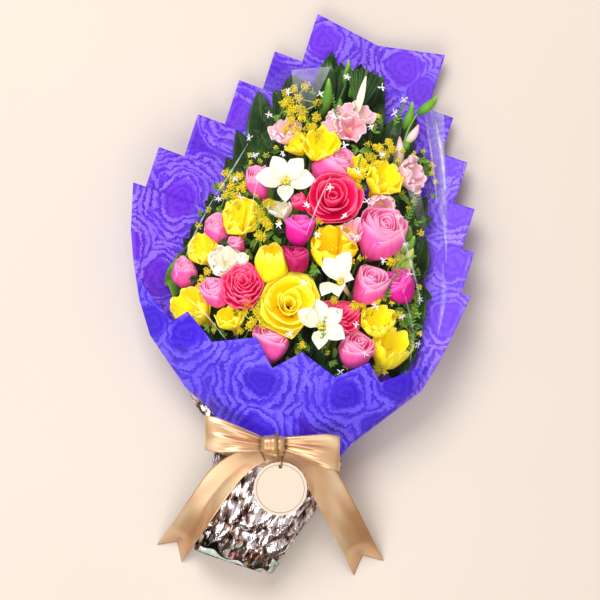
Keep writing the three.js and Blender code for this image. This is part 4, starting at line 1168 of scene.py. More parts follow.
# Buds of the bud sprays: [foot and tip in the picture, half width in mm, look: 0 tinted, 1 green, 2 stem].
BUDS = {
    "freesia_buds_pink": [
        [[396, 168], [400, 136], 4.6, 0], [[407, 142], [419, 124], 3.8, 0], [[404, 128], [413, 101], 4.0, 1],
        [[418, 113], [438, 95], 4.4, 1], [[393, 176], [399, 160], 3.4, 1], [[404, 150], [409, 138], 2.8, 1],
    ],
    "freesia_buds_green": [
        [[397, 276], [391, 258], 4.4, 0], [[403, 274], [410, 256], 4.4, 0], [[399, 266], [394, 246], 4.2, 0],
        [[404, 264], [412, 246], 4.0, 0], [[402, 254], [399, 236], 3.8, 0], [[406, 250], [414, 236], 3.4, 1],
        [[407, 242], [409, 226], 3.2, 1], [[401, 272], [402, 254], 4.4, 0],
    ],
    "freesia_buds_top": [
        [[322, 114], [329, 77], 5.0, 1], [[344, 82], [349, 58], 3.2, 1], [[350, 96], [358, 68], 3.8, 1],
        [[338, 112], [340, 96], 3.2, 1], [[326, 104], [320, 90], 2.8, 1],
    ],
}
BUD_LINES = {
    "freesia_buds_pink": [[386, 190], [393, 172], [402, 150], [409, 128], [420, 110]],
    "freesia_buds_green": [[398, 286], [402, 268], [405, 250], [408, 232]],
    "freesia_buds_top": [[334, 126], [336, 108], [344, 88], [349, 72]],
}


def bud_spray(node, shape, height, rng):
    """Pointed buds along a stem, each a spindle with a slight bend."""
    stalk = smooth_line([[*from_picture(*at), height] for at in BUD_LINES[node]], 6)
    tube(shape, stalk, np.linspace(1.3, 0.7, len(stalk)), 2)
    for foot, tip, half, look in BUDS[node]:
        a, b = (np.array([*from_picture(*at), height]) for at in (foot, tip))
        a[2] += rng.uniform(-3, 1)
        b[2] += rng.uniform(-1, 3)
        t = np.linspace(0, 1, 12)
        bow = np.cross(b - a, [0, 0, 1.0]) * 0.06
        line = a + (b - a) * t[:, None] + bow * np.sin(math.pi * t)[:, None]
        tube(shape, line, 0.35 + half * np.sin(math.pi * (0.05 + 0.93 * t) ** 0.75) ** 0.85, look, sides=10)


def sprays():
    for index, (node, look, *_) in enumerate(SPRAYS):
        rng = np.random.default_rng(500 + index)
        group = [site for site in SPRAY_SITES if site.node == node]
        line = np.array([site.centre for site in group])
        first = line[0] - 7 * unit(line[-1] - line[0]) - [0, 0, 5]
        shape = Shape()
        if node in BUDS:
            bud_spray(node, shape, float(line[:, 2].mean()), rng)
            looks = [BUD_TINTS[look], BUD_GREEN, STEM]
        else:
            stalk = smooth_line([first, *line], 4)
            tube(shape, stalk, np.linspace(0.9, 0.4, len(stalk)), 1)
            for site in group:
                tuft(site.centre, site.radius, shape, rng)
            looks = [PETALS[look], PETALS["lime"]]
        piece("spray_" + node, shape, looks, look, [node])


sprays()


# ---- greens between the blooms ----
# Goldenrod tufts between the blooms: [place in the picture, radius in mm, share of the height to the film].
FILLERS = [
    [[289, 100], 4.5, 0.82], [[293, 110], 4.8, 0.84], [[291, 121], 4.6, 0.82], [[296, 131], 4.6, 0.82],
    [[316, 118], 4.6, 0.84], [[313, 128], 4.8, 0.84], [[319, 135], 4.2, 0.84], [[286, 92], 3.6, 0.8],
    [[365, 168], 4.0, 0.84], [[368, 158], 4.0, 0.86], [[379, 149], 3.8, 0.86], [[391, 150], 3.6, 0.84],
    [[226, 172], 4.0, 0.8], [[232, 186], 4.4, 0.82], [[225, 196], 4.2, 0.8], [[240, 176], 3.6, 0.8],
    [[257, 210], 4.2, 0.86], [[265, 222], 4.2, 0.86], [[272, 205], 3.8, 0.86], [[259, 236], 3.8, 0.86],
    [[247, 302], 4.4, 0.86], [[258, 312], 4.4, 0.86], [[264, 324], 4.2, 0.86], [[250, 326], 4.2, 0.85],
    [[240, 330], 3.8, 0.84], [[203, 280], 4.0, 0.8], [[208, 272], 3.6, 0.8], [[354, 306], 4.2, 0.84],
    [[364, 314], 4.0, 0.84], [[376, 302], 3.8, 0.84], [[350, 262], 4.0, 0.84], [[390, 262], 4.0, 0.82],
    [[284, 104], 4.2, 0.82], [[298, 98], 4.0, 0.82], [[301, 119], 4.2, 0.84], [[286, 130], 4.0, 0.82],
    [[303, 138], 4.0, 0.84], [[294, 88], 3.6, 0.8], [[299, 108], 4.2, 0.84], [[290, 112], 4.6, 0.84],
    [[362, 176], 4.0, 0.84], [[373, 168], 4.2, 0.84], [[384, 157], 4.0, 0.84], [[357, 186], 3.8, 0.84],
    [[236, 196], 4.2, 0.82], [[230, 207], 4.0, 0.8], [[247, 184], 3.6, 0.82], [[221, 186], 3.6, 0.78],
    [[395, 315], 4.0, 0.82], [[302, 345], 3.6, 0.86], [[334, 300], 3.4, 0.86], [[318, 222], 3.6, 0.84],
]
# Fern sprigs: [foot and tip in the picture, reach of its leaflets in mm, share of the height to the film].
SPRIGS = [
    [[408, 356], [419, 326], 6, 0.68], [[409, 330], [420, 300], 6, 0.68], [[398, 306], [415, 276], 6, 0.72],
    [[384, 300], [398, 274], 5, 0.8], [[322, 352], [326, 318], 4.2, 0.9], [[244, 334], [236, 308], 5, 0.78],
    [[262, 246], [258, 212], 4.2, 0.84], [[316, 138], [304, 104], 5, 0.78],
    [[340, 124], [334, 96], 4.5, 0.78], [[232, 206], [228, 178], 4.6, 0.76],
    [[356, 180], [362, 158], 4, 0.82], [[212, 300], [204, 276], 4.6, 0.76],
    [[310, 352], [300, 334], 4.2, 0.84], [[404, 226], [418, 200], 5.5, 0.72],
    [[394, 126], [408, 100], 5, 0.74],
]


def lifted(x, y, share):
    """Height at a share of the way from the papers to the film."""
    floor = stack_top(x, y)
    return floor + (film_height(x, y) - floor) * share


def fillers():
    rng = np.random.default_rng(640)
    shape = Shape()
    for at, radius, share in FILLERS:
        x, y = from_picture(*at)
        centre = np.array([x, y, float(lifted(x, y, share))])
        tuft(centre, radius, shape, rng, 84)
        tube(shape, smooth_line([centre - [1, 16, 14], centre - [0, 7, 6], centre], 3), 0.5, 1)
    piece("spray_between_blooms", shape, [PETALS["golden"], PETALS["lime"]], "golden", ["goldenrod_1"])


def covered(point):
    """True where a bloom's head lies over a place."""
    return any(math.hypot(*(point - site.head()[:2])) < 0.78 * site.radius for site in HEAD_SITES)


def gaps():
    """Small sprigs in the gaps between neighbouring blooms, as [foot, tip, reach, share] in mm."""
    rng = np.random.default_rng(660)
    found = []
    for one, other in combinations(HEAD_SITES, 2):
        gap = other.centre - one.centre
        if np.linalg.norm(gap) > 1.3 * (one.radius + other.radius):
            continue
        middle = one.centre + gap * one.radius / (one.radius + other.radius)
        side = unit(left_of(gap))
        for sign in (-1, 1):
            foot = middle[:2] + sign * side * 0.35 * min(one.radius, other.radius)
            tip = foot + sign * side * rng.uniform(9, 15) + rng.uniform(-3, 3, 2)
            if not covered(foot) and not covered(tip):
                found.append([foot, inside_film(tip), rng.uniform(3.0, 4.6), rng.uniform(0.66, 0.78)])
    return found


def leaflet(shape, place, out, length, look=0, wide=0.16, rise=0.8):
    """A small pointed leaf from a place, out to a side."""
    t = down(0, 1, 6)
    w = over(-1, 1, 3)
    half = wide * length * np.sin(math.pi * (0.12 + 0.88 * t) ** 0.8) * w
    x, y = beside(place, out, length * t, half)
    z = place[2] + rise * np.sin(2.5 * t) + 0.3 * np.abs(w)
    shape.grid(stacked(x, y, z), look, marks=stacked((w + 1) / 2, t))


def open_spots(apart, rng):
    """Places between the blooms, at least so far apart in mm."""
    found = []
    for point in rng.uniform([-110, 20], [150, 345], (9000, 2)):
        near = min(math.hypot(*(point - site.head()[:2])) / site.radius for site in HEAD_SITES)
        aside = math.hypot(*(inside_film(point) - point))
        if not 0.88 < near < 1.32 or aside > 0.1 or point[1] < read(ZIGZAG, point[0], 1) + 3:
            continue
        if all(math.hypot(*(point - other)) > apart for other in found):
            found.append(point)
    return found


def greens():
    """Clusters of tiny florets and young leaves in the gaps between the blooms."""
    rng = np.random.default_rng(670)
    shape = Shape()
    for x, y in open_spots(7.0, rng):
        centre = np.array([x, y, float(lifted(x, y, rng.uniform(0.62, 0.82)))])
        if rng.random() < 0.42:
            tuft(centre, rng.uniform(2.0, 3.4), shape, rng, 34, rng.uniform(0.2, 0.8))
        else:
            turn = rng.uniform(0, 6.28)
            look = 2 if rng.random() < 0.6 else 3
            for _ in range(6):
                way = heading(turn + rng.uniform(-1.2, 1.2))
                start = centre + [*(rng.uniform(0, 4) * heading(turn)), rng.uniform(-2.5, -0.5)]
                length = rng.uniform(3.0, 7.5)
                leaflet(shape, start, way, length, look, rng.uniform(0.16, 0.26), rng.uniform(0.4, 2.6))
        tube(shape, smooth_line([centre - [1, 9, 14], centre - [0, 4, 6], centre], 2), 0.4, 4, sides=5)
    looks = [PETALS["golden"], PETALS["lime"], LEAF_FRESH, LEAF_DARK, STEM]
    piece("greens_between_blooms", shape, looks, "golden", ["goldenrod_2"])


def sprigs():
    rng = np.random.default_rng(650)
    shape = Shape()
    listed = [[from_picture(*foot), from_picture(*tip), *rest] for foot, tip, *rest in SPRIGS]
    for a, b, reach, share in listed + gaps():
        way = unit(b - a)
        line = []
        for t in np.linspace(0, 1, 9):
            x, y = a + (b - a) * t + 1.5 * math.sin(2.2 * t) * left_of(way)
            line.append([x, y, float(lifted(x, y, share)) + 1.5 * math.sin(3 * t)])
        tube(shape, line, np.linspace(0.6, 0.25, 9), 1)
        for number, place in enumerate(np.array(line)[1:]):
            for side in (-1, 1):
                length = reach * (1 - 0.075 * number) * rng.uniform(0.85, 1.15)
                leaflet(shape, place, 0.75 * way + side * 0.8 * left_of(way), length)
    piece("fern_sprigs", shape, [LEAF_FRESH, STEM], "leaf", ["leaves_right"], thickness=0.25)


# ---- leaves ----
def leaf_blade(shape, foot, tip, width, lift, rng, look=0):
    """A leaf with a crease along its middle. lift is in mm over the papers, or below 1 a share of the way
    to the film."""
    a, b = np.array(foot, dtype=float), np.array(tip, dtype=float)
    length = np.linalg.norm(b - a)
    w = over(-1, 1, 9)
    v = down(0, 1, 22)
    bow = 0.08 * length * (rng.random() - 0.5)
    half = width / 2 * (np.sin(math.pi * v**0.8) ** 0.8 + 0.04 * (1 - v)) + 0.05
    x, y = beside(a, unit(b - a), length * v, half * w + bow * np.sin(math.pi * v))
    veins = 0.35 * np.sin(40 * v - 6 * np.abs(w)) * np.abs(w)
    wave = 0.8 * np.sin(9 * v + 6 * rng.random()) * w + 1.4 * np.abs(w) + veins
    z = (lifted(x, y, lift) if lift < 1 else stack_top(x, y) + 2.9 + lift) + wave
    shape.grid(stacked(x, y, z), look, marks=stacked((w + 1) / 2, v))


# Leaves at the rim of the bunch: [foot, tip in the picture, width in mm, lift].
RIM_LEAVES = [
    [[302, 132], [273, 88], 30, 8], [[308, 112], [291, 72], 28, 10], [[288, 152], [262, 114], 28, 9],
    [[276, 176], [262, 118], 24, 9], [[290, 160], [276, 104], 22, 12], [[300, 120], [296, 74], 20, 10],
    [[322, 110], [328, 54], 22, 12], [[336, 104], [342, 60], 18, 9], [[366, 150], [384, 100], 24, 12],
    [[380, 168], [402, 112], 24, 9], [[398, 200], [424, 150], 24, 8], [[404, 250], [428, 196], 24, 8],
    [[408, 290], [426, 236], 24, 8], [[402, 340], [424, 288], 24, 8], [[392, 372], [418, 330], 22, 8],
    [[248, 200], [226, 156], 24, 9], [[232, 232], [204, 200], 22, 8], [[212, 268], [188, 244], 22, 8],
    [[204, 300], [178, 284], 22, 8], [[232, 338], [206, 330], 20, 8], [[262, 350], [240, 344], 20, 8],
    [[330, 372], [316, 350], 20, 8], [[300, 352], [286, 344], 20, 8], [[322, 374], [298, 336], 26, 0.62],
    [[338, 384], [330, 350], 20, 0.62], [[292, 370], [312, 340], 22, 0.66],
    [[226, 350], [202, 326], 22, 0.6], [[252, 354], [240, 330], 14, 0.6], [[336, 378], [328, 338], 24, 7],
    [[354, 382], [350, 342], 24, 6], [[300, 366], [316, 336], 22, 9], [[366, 378], [374, 342], 22, 7],
    [[360, 226], [370, 194], 22, 6], [[250, 254], [252, 224], 22, 6], [[312, 288], [318, 256], 22, 6],
    [[280, 366], [298, 330], 22, 6],
]


def inside_film(point):
    """A place kept inside the film's side edges."""
    x, y = point
    y = min(y, 325)
    return np.array([np.clip(x, read(FILM_EDGE, y, 1) + 8, read(FILM_EDGE, y, 2) - 8), y])


def leaves():
    for number, (node, blades) in enumerate(LEAVES.items()):
        rng = np.random.default_rng(700 + number)
        shape = Shape()
        for i, (foot, tip, width) in enumerate(blades):
            leaf_blade(shape, from_picture(*foot), from_picture(*tip), SCALE * width, 1.9 * (i % 2), rng)
        feet = [from_picture(*blade[0]) for blade in blades]
        line = [[x, y, stack_top(x, y) + 4] for x, y in feet]
        start = [feet[0][0] + 1, feet[0][1] - 14]
        line = smooth_line([[*start, stack_top(*start) + 2.0], *line], 4)
        tube(shape, line, 1.1, 1)
        piece(node + "_blades", shape, [LEAF_DARK, STEM], "leaf", [node], thickness=0.4)


leaves()


def broad_leaves():
    """Dark leaves in the layer under the blooms: one out from under each bloom, and some at the rim."""
    rng = np.random.default_rng(730)
    shape = Shape()
    for site in HEAD_SITES:
        x, y = site.centre[:2]
        away = np.array([x - 10.0, y - 130.0])
        away = away / (np.linalg.norm(away) + 1e-6)
        for turn in (rng.uniform(-0.9, -0.3), rng.uniform(0.3, 0.9), rng.uniform(2.2, 4.0)):
            way = away[0] * heading(turn) + away[1] * left_of(heading(turn))
            foot = site.centre[:2] - 6 * way
            tip = site.centre[:2] + way * (site.radius * 1.1 + rng.uniform(12, 26))
            width = rng.uniform(20, 30)
            lift = rng.uniform(1.5, 9)
            look = int(rng.random() < 0.25)
            leaf_blade(shape, foot, inside_film(tip), width, lift, rng, look)
    for foot, tip, width, lift in RIM_LEAVES:
        leaf_blade(shape, from_picture(*foot), from_picture(*tip), width, lift, rng)
    piece("broad_leaves", shape, [LEAF_DARK, LEAF_FRESH], "leaf", ["leaves_top"], thickness=0.4)


def palm_fan():
    """A pleated fan and a pale folded blade at the top of the bunch."""
    shape = Shape()
    foot = from_picture(357, 114)
    t = down(0, 1, 12)
    turn = over(-0.46, 0.46, 49)
    tip = from_picture(368, 66) - foot
    base = math.atan2(tip[1], tip[0])
    length = np.linalg.norm(tip) * (1 - 0.1 * np.abs(np.sin(turn * 25)))
    x = foot[0] + length * t * np.cos(base - turn)
    y = foot[1] + length * t * np.sin(base - turn)
    z = lifted(x, y, 0.62) + 1.4 * t * np.sin(turn * 50)
    marks = stacked((turn + 0.46) / 0.92, t)
    shape.grid(stacked(x, y, z), marks=marks)
    t = down(0, 1, 14)
    w = over(-1, 1, 5)
    low, high = (from_picture(*at) for at in ([356, 116], [366, 76]))
    side = unit(left_of(high - low))
    half = 3.4 * np.sin(math.pi * (0.16 + 0.8 * t)) * w
    x = low[0] + (high - low)[0] * t + side[0] * half
    y = low[1] + (high - low)[1] * t + side[1] * half
    shape.grid(stacked(x, y, lifted(x, y, 0.82) + 1.2 * np.abs(w)), 1)
    piece("palm_fan", shape, [LEAF_PALM, PETALS["white"]], "leaf", ["leaves_top"], thickness=0.3)


broad_leaves()
palm_fan()
fillers()
sprigs()
greens()

dress("stems", STEM)


# ---- paper ----
def print_marks(x, y, number=0):
    """Where the places of a sheet lie in the print."""
    return stacked(x / PRINT_UNIT + SHEET_OFFSET * number, y / PRINT_UNIT)


def paper_sheets():
    u = over(0, 1, 70)
    v = down(0, 1, 90)
    for k, (left, right, *tops) in enumerate(SHEETS):
        y = PAPER_FOOT + (np.interp(u, [0, 0.5, 1], tops) - PAPER_FOOT) * v
        x = outline_x(y, across(left, FULL_WIDTH_Y) * (1 - u) + across(right, FULL_WIDTH_Y) * u)
        z = back_height(x, y) + k * PAPER_STEP + PAPER / 2
        z = z + 0.35 * np.sin(x / 17 + k) * np.sin(y / 23 + 2 * k) * smooth_step(y, 20, 80)
        name = f"paper_sheet_{k + 1}"
        points = stacked(x, y, z)
        surface("printed_" + name, points, PAPER_LOOK, "paper", [name], print_marks(x, y, k), thickness=0.5)


def collar():
    u = over(0, 1, 161)
    v = down(0, 1, 40)
    at = u * (len(ZIGZAG) - 1)
    top_x, top_y = (np.interp(at, range(len(ZIGZAG)), [p[i] for p in ZIGZAG]) for i in (0, 1))
    y = PAPER_FOOT + (top_y - PAPER_FOOT) * v
    share = across(top_x, top_y) + 0 * y
    x = outline_x(y, share)
    fold = np.abs(((at + 1) % 2) - 1)
    points = stacked(x, y, front_height(x, y) - 1.6 * (1 - np.abs(share)) * (2 * fold - 1) * v)
    marks = print_marks(x, y, COLLAR_SHEET)
    surface("printed_collar", points, PAPER_LOOK, "paper", ["paper_collar"], marks, thickness=0.5)


paper_sheets()
collar()


# ---- clear film with small printed sprigs ----
PRINT_MARKS = [
    (288, 92), (320, 95), (347, 78), (382, 88), (269, 115), (274, 134), (249, 138), (255, 156), (333, 118),
    (371, 128), (394, 114), (283, 155), (344, 147), (381, 156), (357, 173), (330, 189), (366, 203),
    (235, 179), (219, 199), (241, 198), (307, 207), (279, 226), (344, 217), (398, 217), (317, 236),
    (405, 245), (382, 261), (408, 274), (304, 283), (374, 306), (419, 300), (401, 317), (355, 324),
    (418, 344), (364, 353), (340, 371), (290, 333), (404, 100),
]


FILM_FOOT = 52
FILM_HEAD = 346


def film_place(x, y, out=0.0):
    """Points on the wrinkled film, or so far above it in mm."""
    wrinkle = 0.7 * np.sin(x / 11 + y / 31) * np.sin(y / 19 - x / 47)
    return stacked(x, y, film_height(x, y) + wrinkle * 0.6 + out)


def film():
    u = over(0, 1, 90)
    y = down(FILM_FOOT, FILM_HEAD, 90) + 0 * u
    share = 0.5 - 0.5 * np.cos(math.pi * u)
    x = read(FILM_EDGE, y, 1) * (1 - share) + read(FILM_EDGE, y, 2) * share
    surface("film_sheet", film_place(x, y), FILM_LOOK, "film", ["clear_film"], print_marks(x, y))


def film_print():
    shape = Shape()
    rng = np.random.default_rng(9)
    for at in PRINT_MARKS:
        middle = from_picture(*at)
        start = rng.uniform(0, 6.28)
        arms = int(rng.integers(4, 7))
        for k in range(arms):
            turn = start + 2 * math.pi * k / arms + rng.uniform(-0.35, 0.35)
            length = rng.uniform(2.6, 5.0)
            t = down(0, 1, 7)
            edges = rng.uniform(0.25, 0.95, (7, 1)) * [-1, 1]
            half = (0.25 + 0.75 * np.sin(math.pi * t)) * edges
            bent = turn + rng.uniform(-0.5, 0.5) * t
            x = middle[0] + length * t * np.cos(bent) - half * math.sin(turn)
            y = middle[1] + length * t * np.sin(bent) + half * math.cos(turn)
            shape.grid(film_place(x, y, 0.25))
    piece("film_sprigs", shape, [FILM_INK], "film")


# Painted highlights on the film: [line in the picture, half width in mm, strength in hundredths].
GLINTS = [
    [[[432, 108], [440, 150], [444, 190], [446, 240]], 7.0, 26],
    [[[436, 112], [443, 150], [447, 190]], 2.4, 60],
    [[[428, 128], [434, 164], [438, 204]], 1.6, 55],
    [[[440, 196], [446, 226], [447, 262]], 2.2, 48],
    [[[443, 262], [444, 300], [438, 340]], 3.4, 26],
    [[[386, 190], [399, 228], [410, 264], [420, 300]], 3.0, 22],
    [[[386, 190], [399, 228], [410, 264], [420, 300]], 1.0, 40],
    [[[330, 178], [318, 205], [306, 236]], 0.9, 60],
    [[[262, 164], [254, 200], [246, 240]], 0.8, 45],
    [[[215, 196], [205, 214], [193, 238], [184, 262]], 1.1, 58],
    [[[248, 144], [236, 164], [226, 180], [215, 196]], 1.1, 58],
    [[[248, 240], [228, 250], [208, 262]], 0.6, 50],
    [[[186, 296], [205, 312], [228, 340]], 0.7, 60],
    [[[404, 296], [412, 330], [410, 362]], 1.6, 30],
]


def glints():
    shape = Shape()
    for line, half_width, strength in GLINTS:
        path = picture_line(line, 10)
        t = down(0, 1, len(path))
        w = over(-1, 1, 5)
        half = half_width * np.sin(math.pi * (0.06 + 0.88 * t)) * w
        x, y = beside(lengthwise(path), lengthwise(ways_along(path)), 0, half)
        shape.grid(film_place(x, y, 0.45), marks=stacked(strength + 0.999 * (w + 1) / 2, t))
    piece("film_glints", shape, [GLINT_LOOK], "film", ["clear_film"])


# Panes where the film lies folded, whitened partly by the double layer and partly by a painted highlight:
# [far edge, near edge as two places each, strength at the far edge].
PANES = [
    [[[291, 68], [331, 67]], [[298, 122], [308, 118]], 0.34],
    [[[424, 104], [446, 112]], [[444, 250], [448, 246]], 0.32],
    [[[404, 184], [420, 192]], [[426, 246], [430, 242]], 0.24],
]


def panes():
    shape = Shape()
    u = over(0, 1, 8)[..., None]
    v = down(0, 1, 16)[..., None]
    for far, near, strength in PANES:
        (a, b), (c, d) = ([from_picture(*at) for at in edge] for edge in (far, near))
        flat = (a * (1 - u) + b * u) * (1 - v) + (c * (1 - u) + d * u) * v
        marks = stacked(u[..., 0], strength * (1 - v[..., 0]) ** 1.2)
        shape.grid(film_place(flat[..., 0], flat[..., 1], 0.8), marks=marks)
    piece("film_folds", shape, [FOLD_AND_HIGHLIGHT_LOOK], "film", ["clear_film"])


film()
film_print()
glints()
panes()


# ---- foil base ----
FOIL_FOOT = -124
FOIL_HEAD = -4


def foil_top(x, y, out):
    """Height so far above the foil's front, in mm."""
    cx, a, b, cz = (read(FOIL, np.clip(y, FOIL_FOOT, FOIL_HEAD), c) for c in (1, 2, 3, 4))
    s = np.clip(np.abs((x - cx) / (a + out)), 0, 1)
    return cz + (b + out) * (1 - s**2.5) ** 0.4


def foil_section(turn, y, out):
    """Points round the foil, so far outside it in mm."""
    x, a, b, z = (read(FOIL, y, c) for c in (1, 2, 3, 4))
    cos, sin = np.cos(turn), np.sin(turn)
    px = x + (a + out) * np.sign(cos) * np.abs(cos) ** 0.8
    pz = z + (b + out) * np.sign(sin) * np.abs(sin) ** 0.8
    return stacked(px, y, np.maximum(pz, 0.15))


def crumple(aside, along, rng, folds=6):
    """Flat facets between straight creases: a sum of zigzag waves that cross each other."""
    height = 0.0
    for _ in range(folds):
        turn = rng.normal(0, 0.62)
        long = rng.uniform(11, 27)
        wave = (aside * math.cos(turn) + along * math.sin(turn)) / long + rng.uniform(0, 1)
        bent = wave + 0.25 * np.sin(along / rng.uniform(9, 16) + rng.uniform(0, 6))
        height = height + long / 15 * (4 * np.abs(bent % 1 - 0.5) - 1)
    return height / folds**0.5


def foil():
    """The base: a sleeve of crumpled foil, closed underneath by its tucked-in end."""
    rng = np.random.default_rng(43)
    turn = over(0, 2 * math.pi, 240, endpoint=False)
    y = down(FOIL_FOOT, FOIL_HEAD, 96)
    around = 44 * np.minimum(turn, 2 * math.pi - turn)
    inner = smooth_step(y, FOIL_FOOT, FOIL_FOOT + 8) * (1 - smooth_step(y, FOIL_HEAD - 8, FOIL_HEAD))
    out = 2.1 * np.clip(crumple(around, y, rng), -1.4, 0.7) * inner
    points = foil_section(turn + 0 * y, y + 0 * turn, out)
    points[..., 1] += 1.4 * crumple(y, around, rng, 4) * inner
    shape = Shape()
    shape.grid(points, marks=stacked(turn / 6.3, (y - FOIL_FOOT) / 120), loop=True)
    middle = np.array([22.0, FOIL_FOOT, 24.0])
    tucked = [points[0]]
    for share in (0.85, 0.65, 0.4, 0.15):
        ring = middle + (points[0] - middle) * share
        ring[:, 1] += 1.6 * (1 - share) + 0.9 * np.abs(np.sin(7.5 * turn[0] + 3 * share)) * (1 - share)
        tucked.append(ring)
    shape.grid(np.array(tucked)[::-1], loop=True)
    piece("foil_folds", shape, [FOIL_LOOK], "foil", ["foil_wrap"], smooth=False)


FLAP = [[184, 384], [192, 396], [214, 409], [240, 423], [222, 432], [206, 420], [193, 404]]
HEM = [[197, 552], [214, 561], [232, 569], [250, 576], [268, 579], [280, 566]]


def foil_flap():
    """A corner of the foil that shows beside the collar, at its lower left."""
    rng = np.random.default_rng(47)
    upper = picture_line(FLAP[:4], 16)
    lower = picture_line([FLAP[0], FLAP[6], FLAP[5], FLAP[4]], 16)
    v = over(0, 1, 14)
    x, y = lengthwise(upper) * (1 - v) + lengthwise(lower) * v
    z = np.minimum(front_height(x, y), 40) - 10 - 8 * v + 1.6 * crumple(x, y, rng)
    points = stacked(x, y, np.maximum(z, 1))
    surface("foil_flap", points, FOIL_LOOK, "foil", ["foil_wrap"], smooth=False, thickness=0.3)


def foil_hem():
    """The clear folded edge along the front of the foil's foot."""
    line = picture_line(HEM, 12)
    tall = 5.5 + 3.5 * np.abs(np.sin(11 * down(0, 1, len(line)))) ** 3
    x, y = beside(lengthwise(line), lengthwise(ways_along(line)), 0, tall * np.array([[0.0, 0.35, 0.7, 1.0]]))
    y = np.maximum(y, FOIL_FOOT)
    foot = 5 * (1 - smooth_step(y, FOIL_FOOT, FOIL_FOOT + 4))
    points = stacked(x, y, foil_top(x, np.maximum(y, FOIL_FOOT + 0.1), 1.2) + 2.6 - foot)
    surface("foil_hem", points, HEM_LOOK, "foil", ["foil_wrap"], thickness=0.3)


foil()
foil_flap()
foil_hem()


# ---- satin ribbon ----
BAND_Y = -13.5
BAND_HALF = 13.5
BAND_OUT = 1.9
KNOT_HALF = (11.5, 8.6, 10.6)
LOOP_INNER = 12
LOOP_LOW = 2.2
LOOP_HIGH = 20
BOW_WAY = (math.cos(LEAN), math.sin(LEAN))
KNOT_X, KNOT_Y = from_picture(273, 443)
KNOT_Z = float(foil_top(24, BAND_Y, BAND_OUT + 1.0)) + SEAT
KNOT_MID = KNOT_Z + 2.4 + KNOT_HALF[2]


def bow_place(along, up, z):
    x = KNOT_X + BOW_WAY[0] * along - BOW_WAY[1] * up
    y = KNOT_Y + BOW_WAY[1] * along + BOW_WAY[0] * up
    return stacked(x, y, z)


def surface_area(points):
    """Area of a grid of points, in square metres."""
    a = points[:-1, :-1] - points[1:, 1:]
    b = points[1:, :-1] - points[:-1, 1:]
    return float(np.linalg.norm(np.cross(a, b), axis=-1).sum() / 2) / 1e6


SATIN_UNIT = 38  # mm of ribbon to a unit of its marks


def cloth(name, points, node):
    """A ribbon piece from a grid: rows run along the ribbon, columns across it."""
    columns = points.shape[1]
    marks = stacked(over(0, 1, columns), walked(points[:, columns // 2])[:, None] / SATIN_UNIT)
    made = surface(name, points, SATIN, "satin", [node], marks, thickness=0.5)
    area = surface_area(points)


def band():
    turn = -down(0, 2 * math.pi, 120)
    v = over(-1, 1, 15)
    y = BAND_Y + BAND_HALF * v
    fold = 0.45 * np.sin(9 * v + 1.5 * np.sin(3 * turn)) * (1 - v**2)
    points = foil_section(turn + 0 * v, np.minimum(y, -4) + 0 * turn, BAND_OUT + fold)
    points[..., 1] = y + 0 * turn
    points[..., 2] = np.maximum(points[..., 2], 0.5)
    cloth("satin_band", points, "ribbon_band")


def bow_loop(side, reach, drop, name, node):
    turn = down(0, math.pi, 60)
    w = over(-1, 1, 25)
    out = np.sin(turn) ** 0.75
    along = side * (LOOP_INNER - 3 * (1 - out) + (reach - LOOP_INNER) * out)
    half = 6.5 + (RIBBON_WIDTH / 2 - 7) * np.minimum(1, 1.3 * out)
    up = side * w * half + drop * out
    swell = (LOOP_HIGH - LOOP_LOW) / 2 * (0.35 + 0.65 * out**0.5)
    gather = (1 - out) ** 0.8 * (1.9 * np.sin(8.5 * w + 0.6) + 0.8 * np.sin(15 * w))
    ripple = 2.4 * np.sin(2.6 * w + 2.6 * turn + side) * out**0.6 * (1 - 0.45 * out)
    z = KNOT_Z + (LOOP_HIGH + LOOP_LOW) / 2 + swell * np.cos(turn) + (gather + ripple) * np.abs(np.cos(turn))
    cloth(name, bow_place(along, up, z), node)


def knot():
    turn = down(0, 2 * math.pi, 72)
    w = over(-1, 1, 21)
    fat = 1 - 0.28 * np.abs(w) ** 3
    fold = 1 + 0.05 * np.sin(8 * w + 1.2) * (1 - w**2)
    cos, sin = np.cos(turn), np.sin(turn)
    up = -KNOT_HALF[1] * fat * fold * np.sign(cos) * np.abs(cos) ** 0.75
    z = KNOT_MID + KNOT_HALF[2] * fat * fold * np.sign(sin) * np.abs(sin) ** 0.75
    cloth("satin_knot", bow_place(KNOT_HALF[0] * w * 0.97, up, z), "bow_knot")


TAILS = {
    "left": ([[262, 452], [243, 461], [222, 479], [196, 516], [167, 558]], 14.5),
    "right": ([[284, 453], [302, 461], [319, 474], [346, 524], [370, 573]], 16),
}
TAIL_NOTCH = 13.5


def tail(name, line, full_half, node):
    path = picture_line(line, 24)
    far = walked(path)
    u = np.linspace(0, 1, 70)
    at = np.stack([np.interp(u * far[-1], far, path[:, i]) for i in (0, 1)], -1)
    u = u[:, None]
    w = over(-1, 1, 21)
    half = 9 + (full_half - 9) * np.minimum(1, 3 * u)
    notch = -TAIL_NOTCH * (1 - np.abs(w)) * smooth_step(u, 0.8, 1.0)
    x, y = beside(lengthwise(at), lengthwise(ways_along(at)), notch, half * w)
    cx, a = (read(FOIL, np.clip(y, FOIL_FOOT, FOIL_HEAD), c) for c in (1, 2))
    edge = smooth_step(a + 5 - np.abs(x - cx), 0, 6) * smooth_step(y, FOIL_FOOT - 6, FOIL_FOOT + 2)
    lying = (foil_top(x, y, 2) + 3) * edge
    hanging = 0.7 + (KNOT_Z + 1) * (1 - u**1.9)
    ripple = 0.8 * np.sin(3 * u * math.pi + 0.5 * w) * np.sin(math.pi * u) ** 2
    z = np.maximum(lying, hanging) + ripple
    cloth(name, stacked(x, y, np.maximum(z, 0.4)), node)


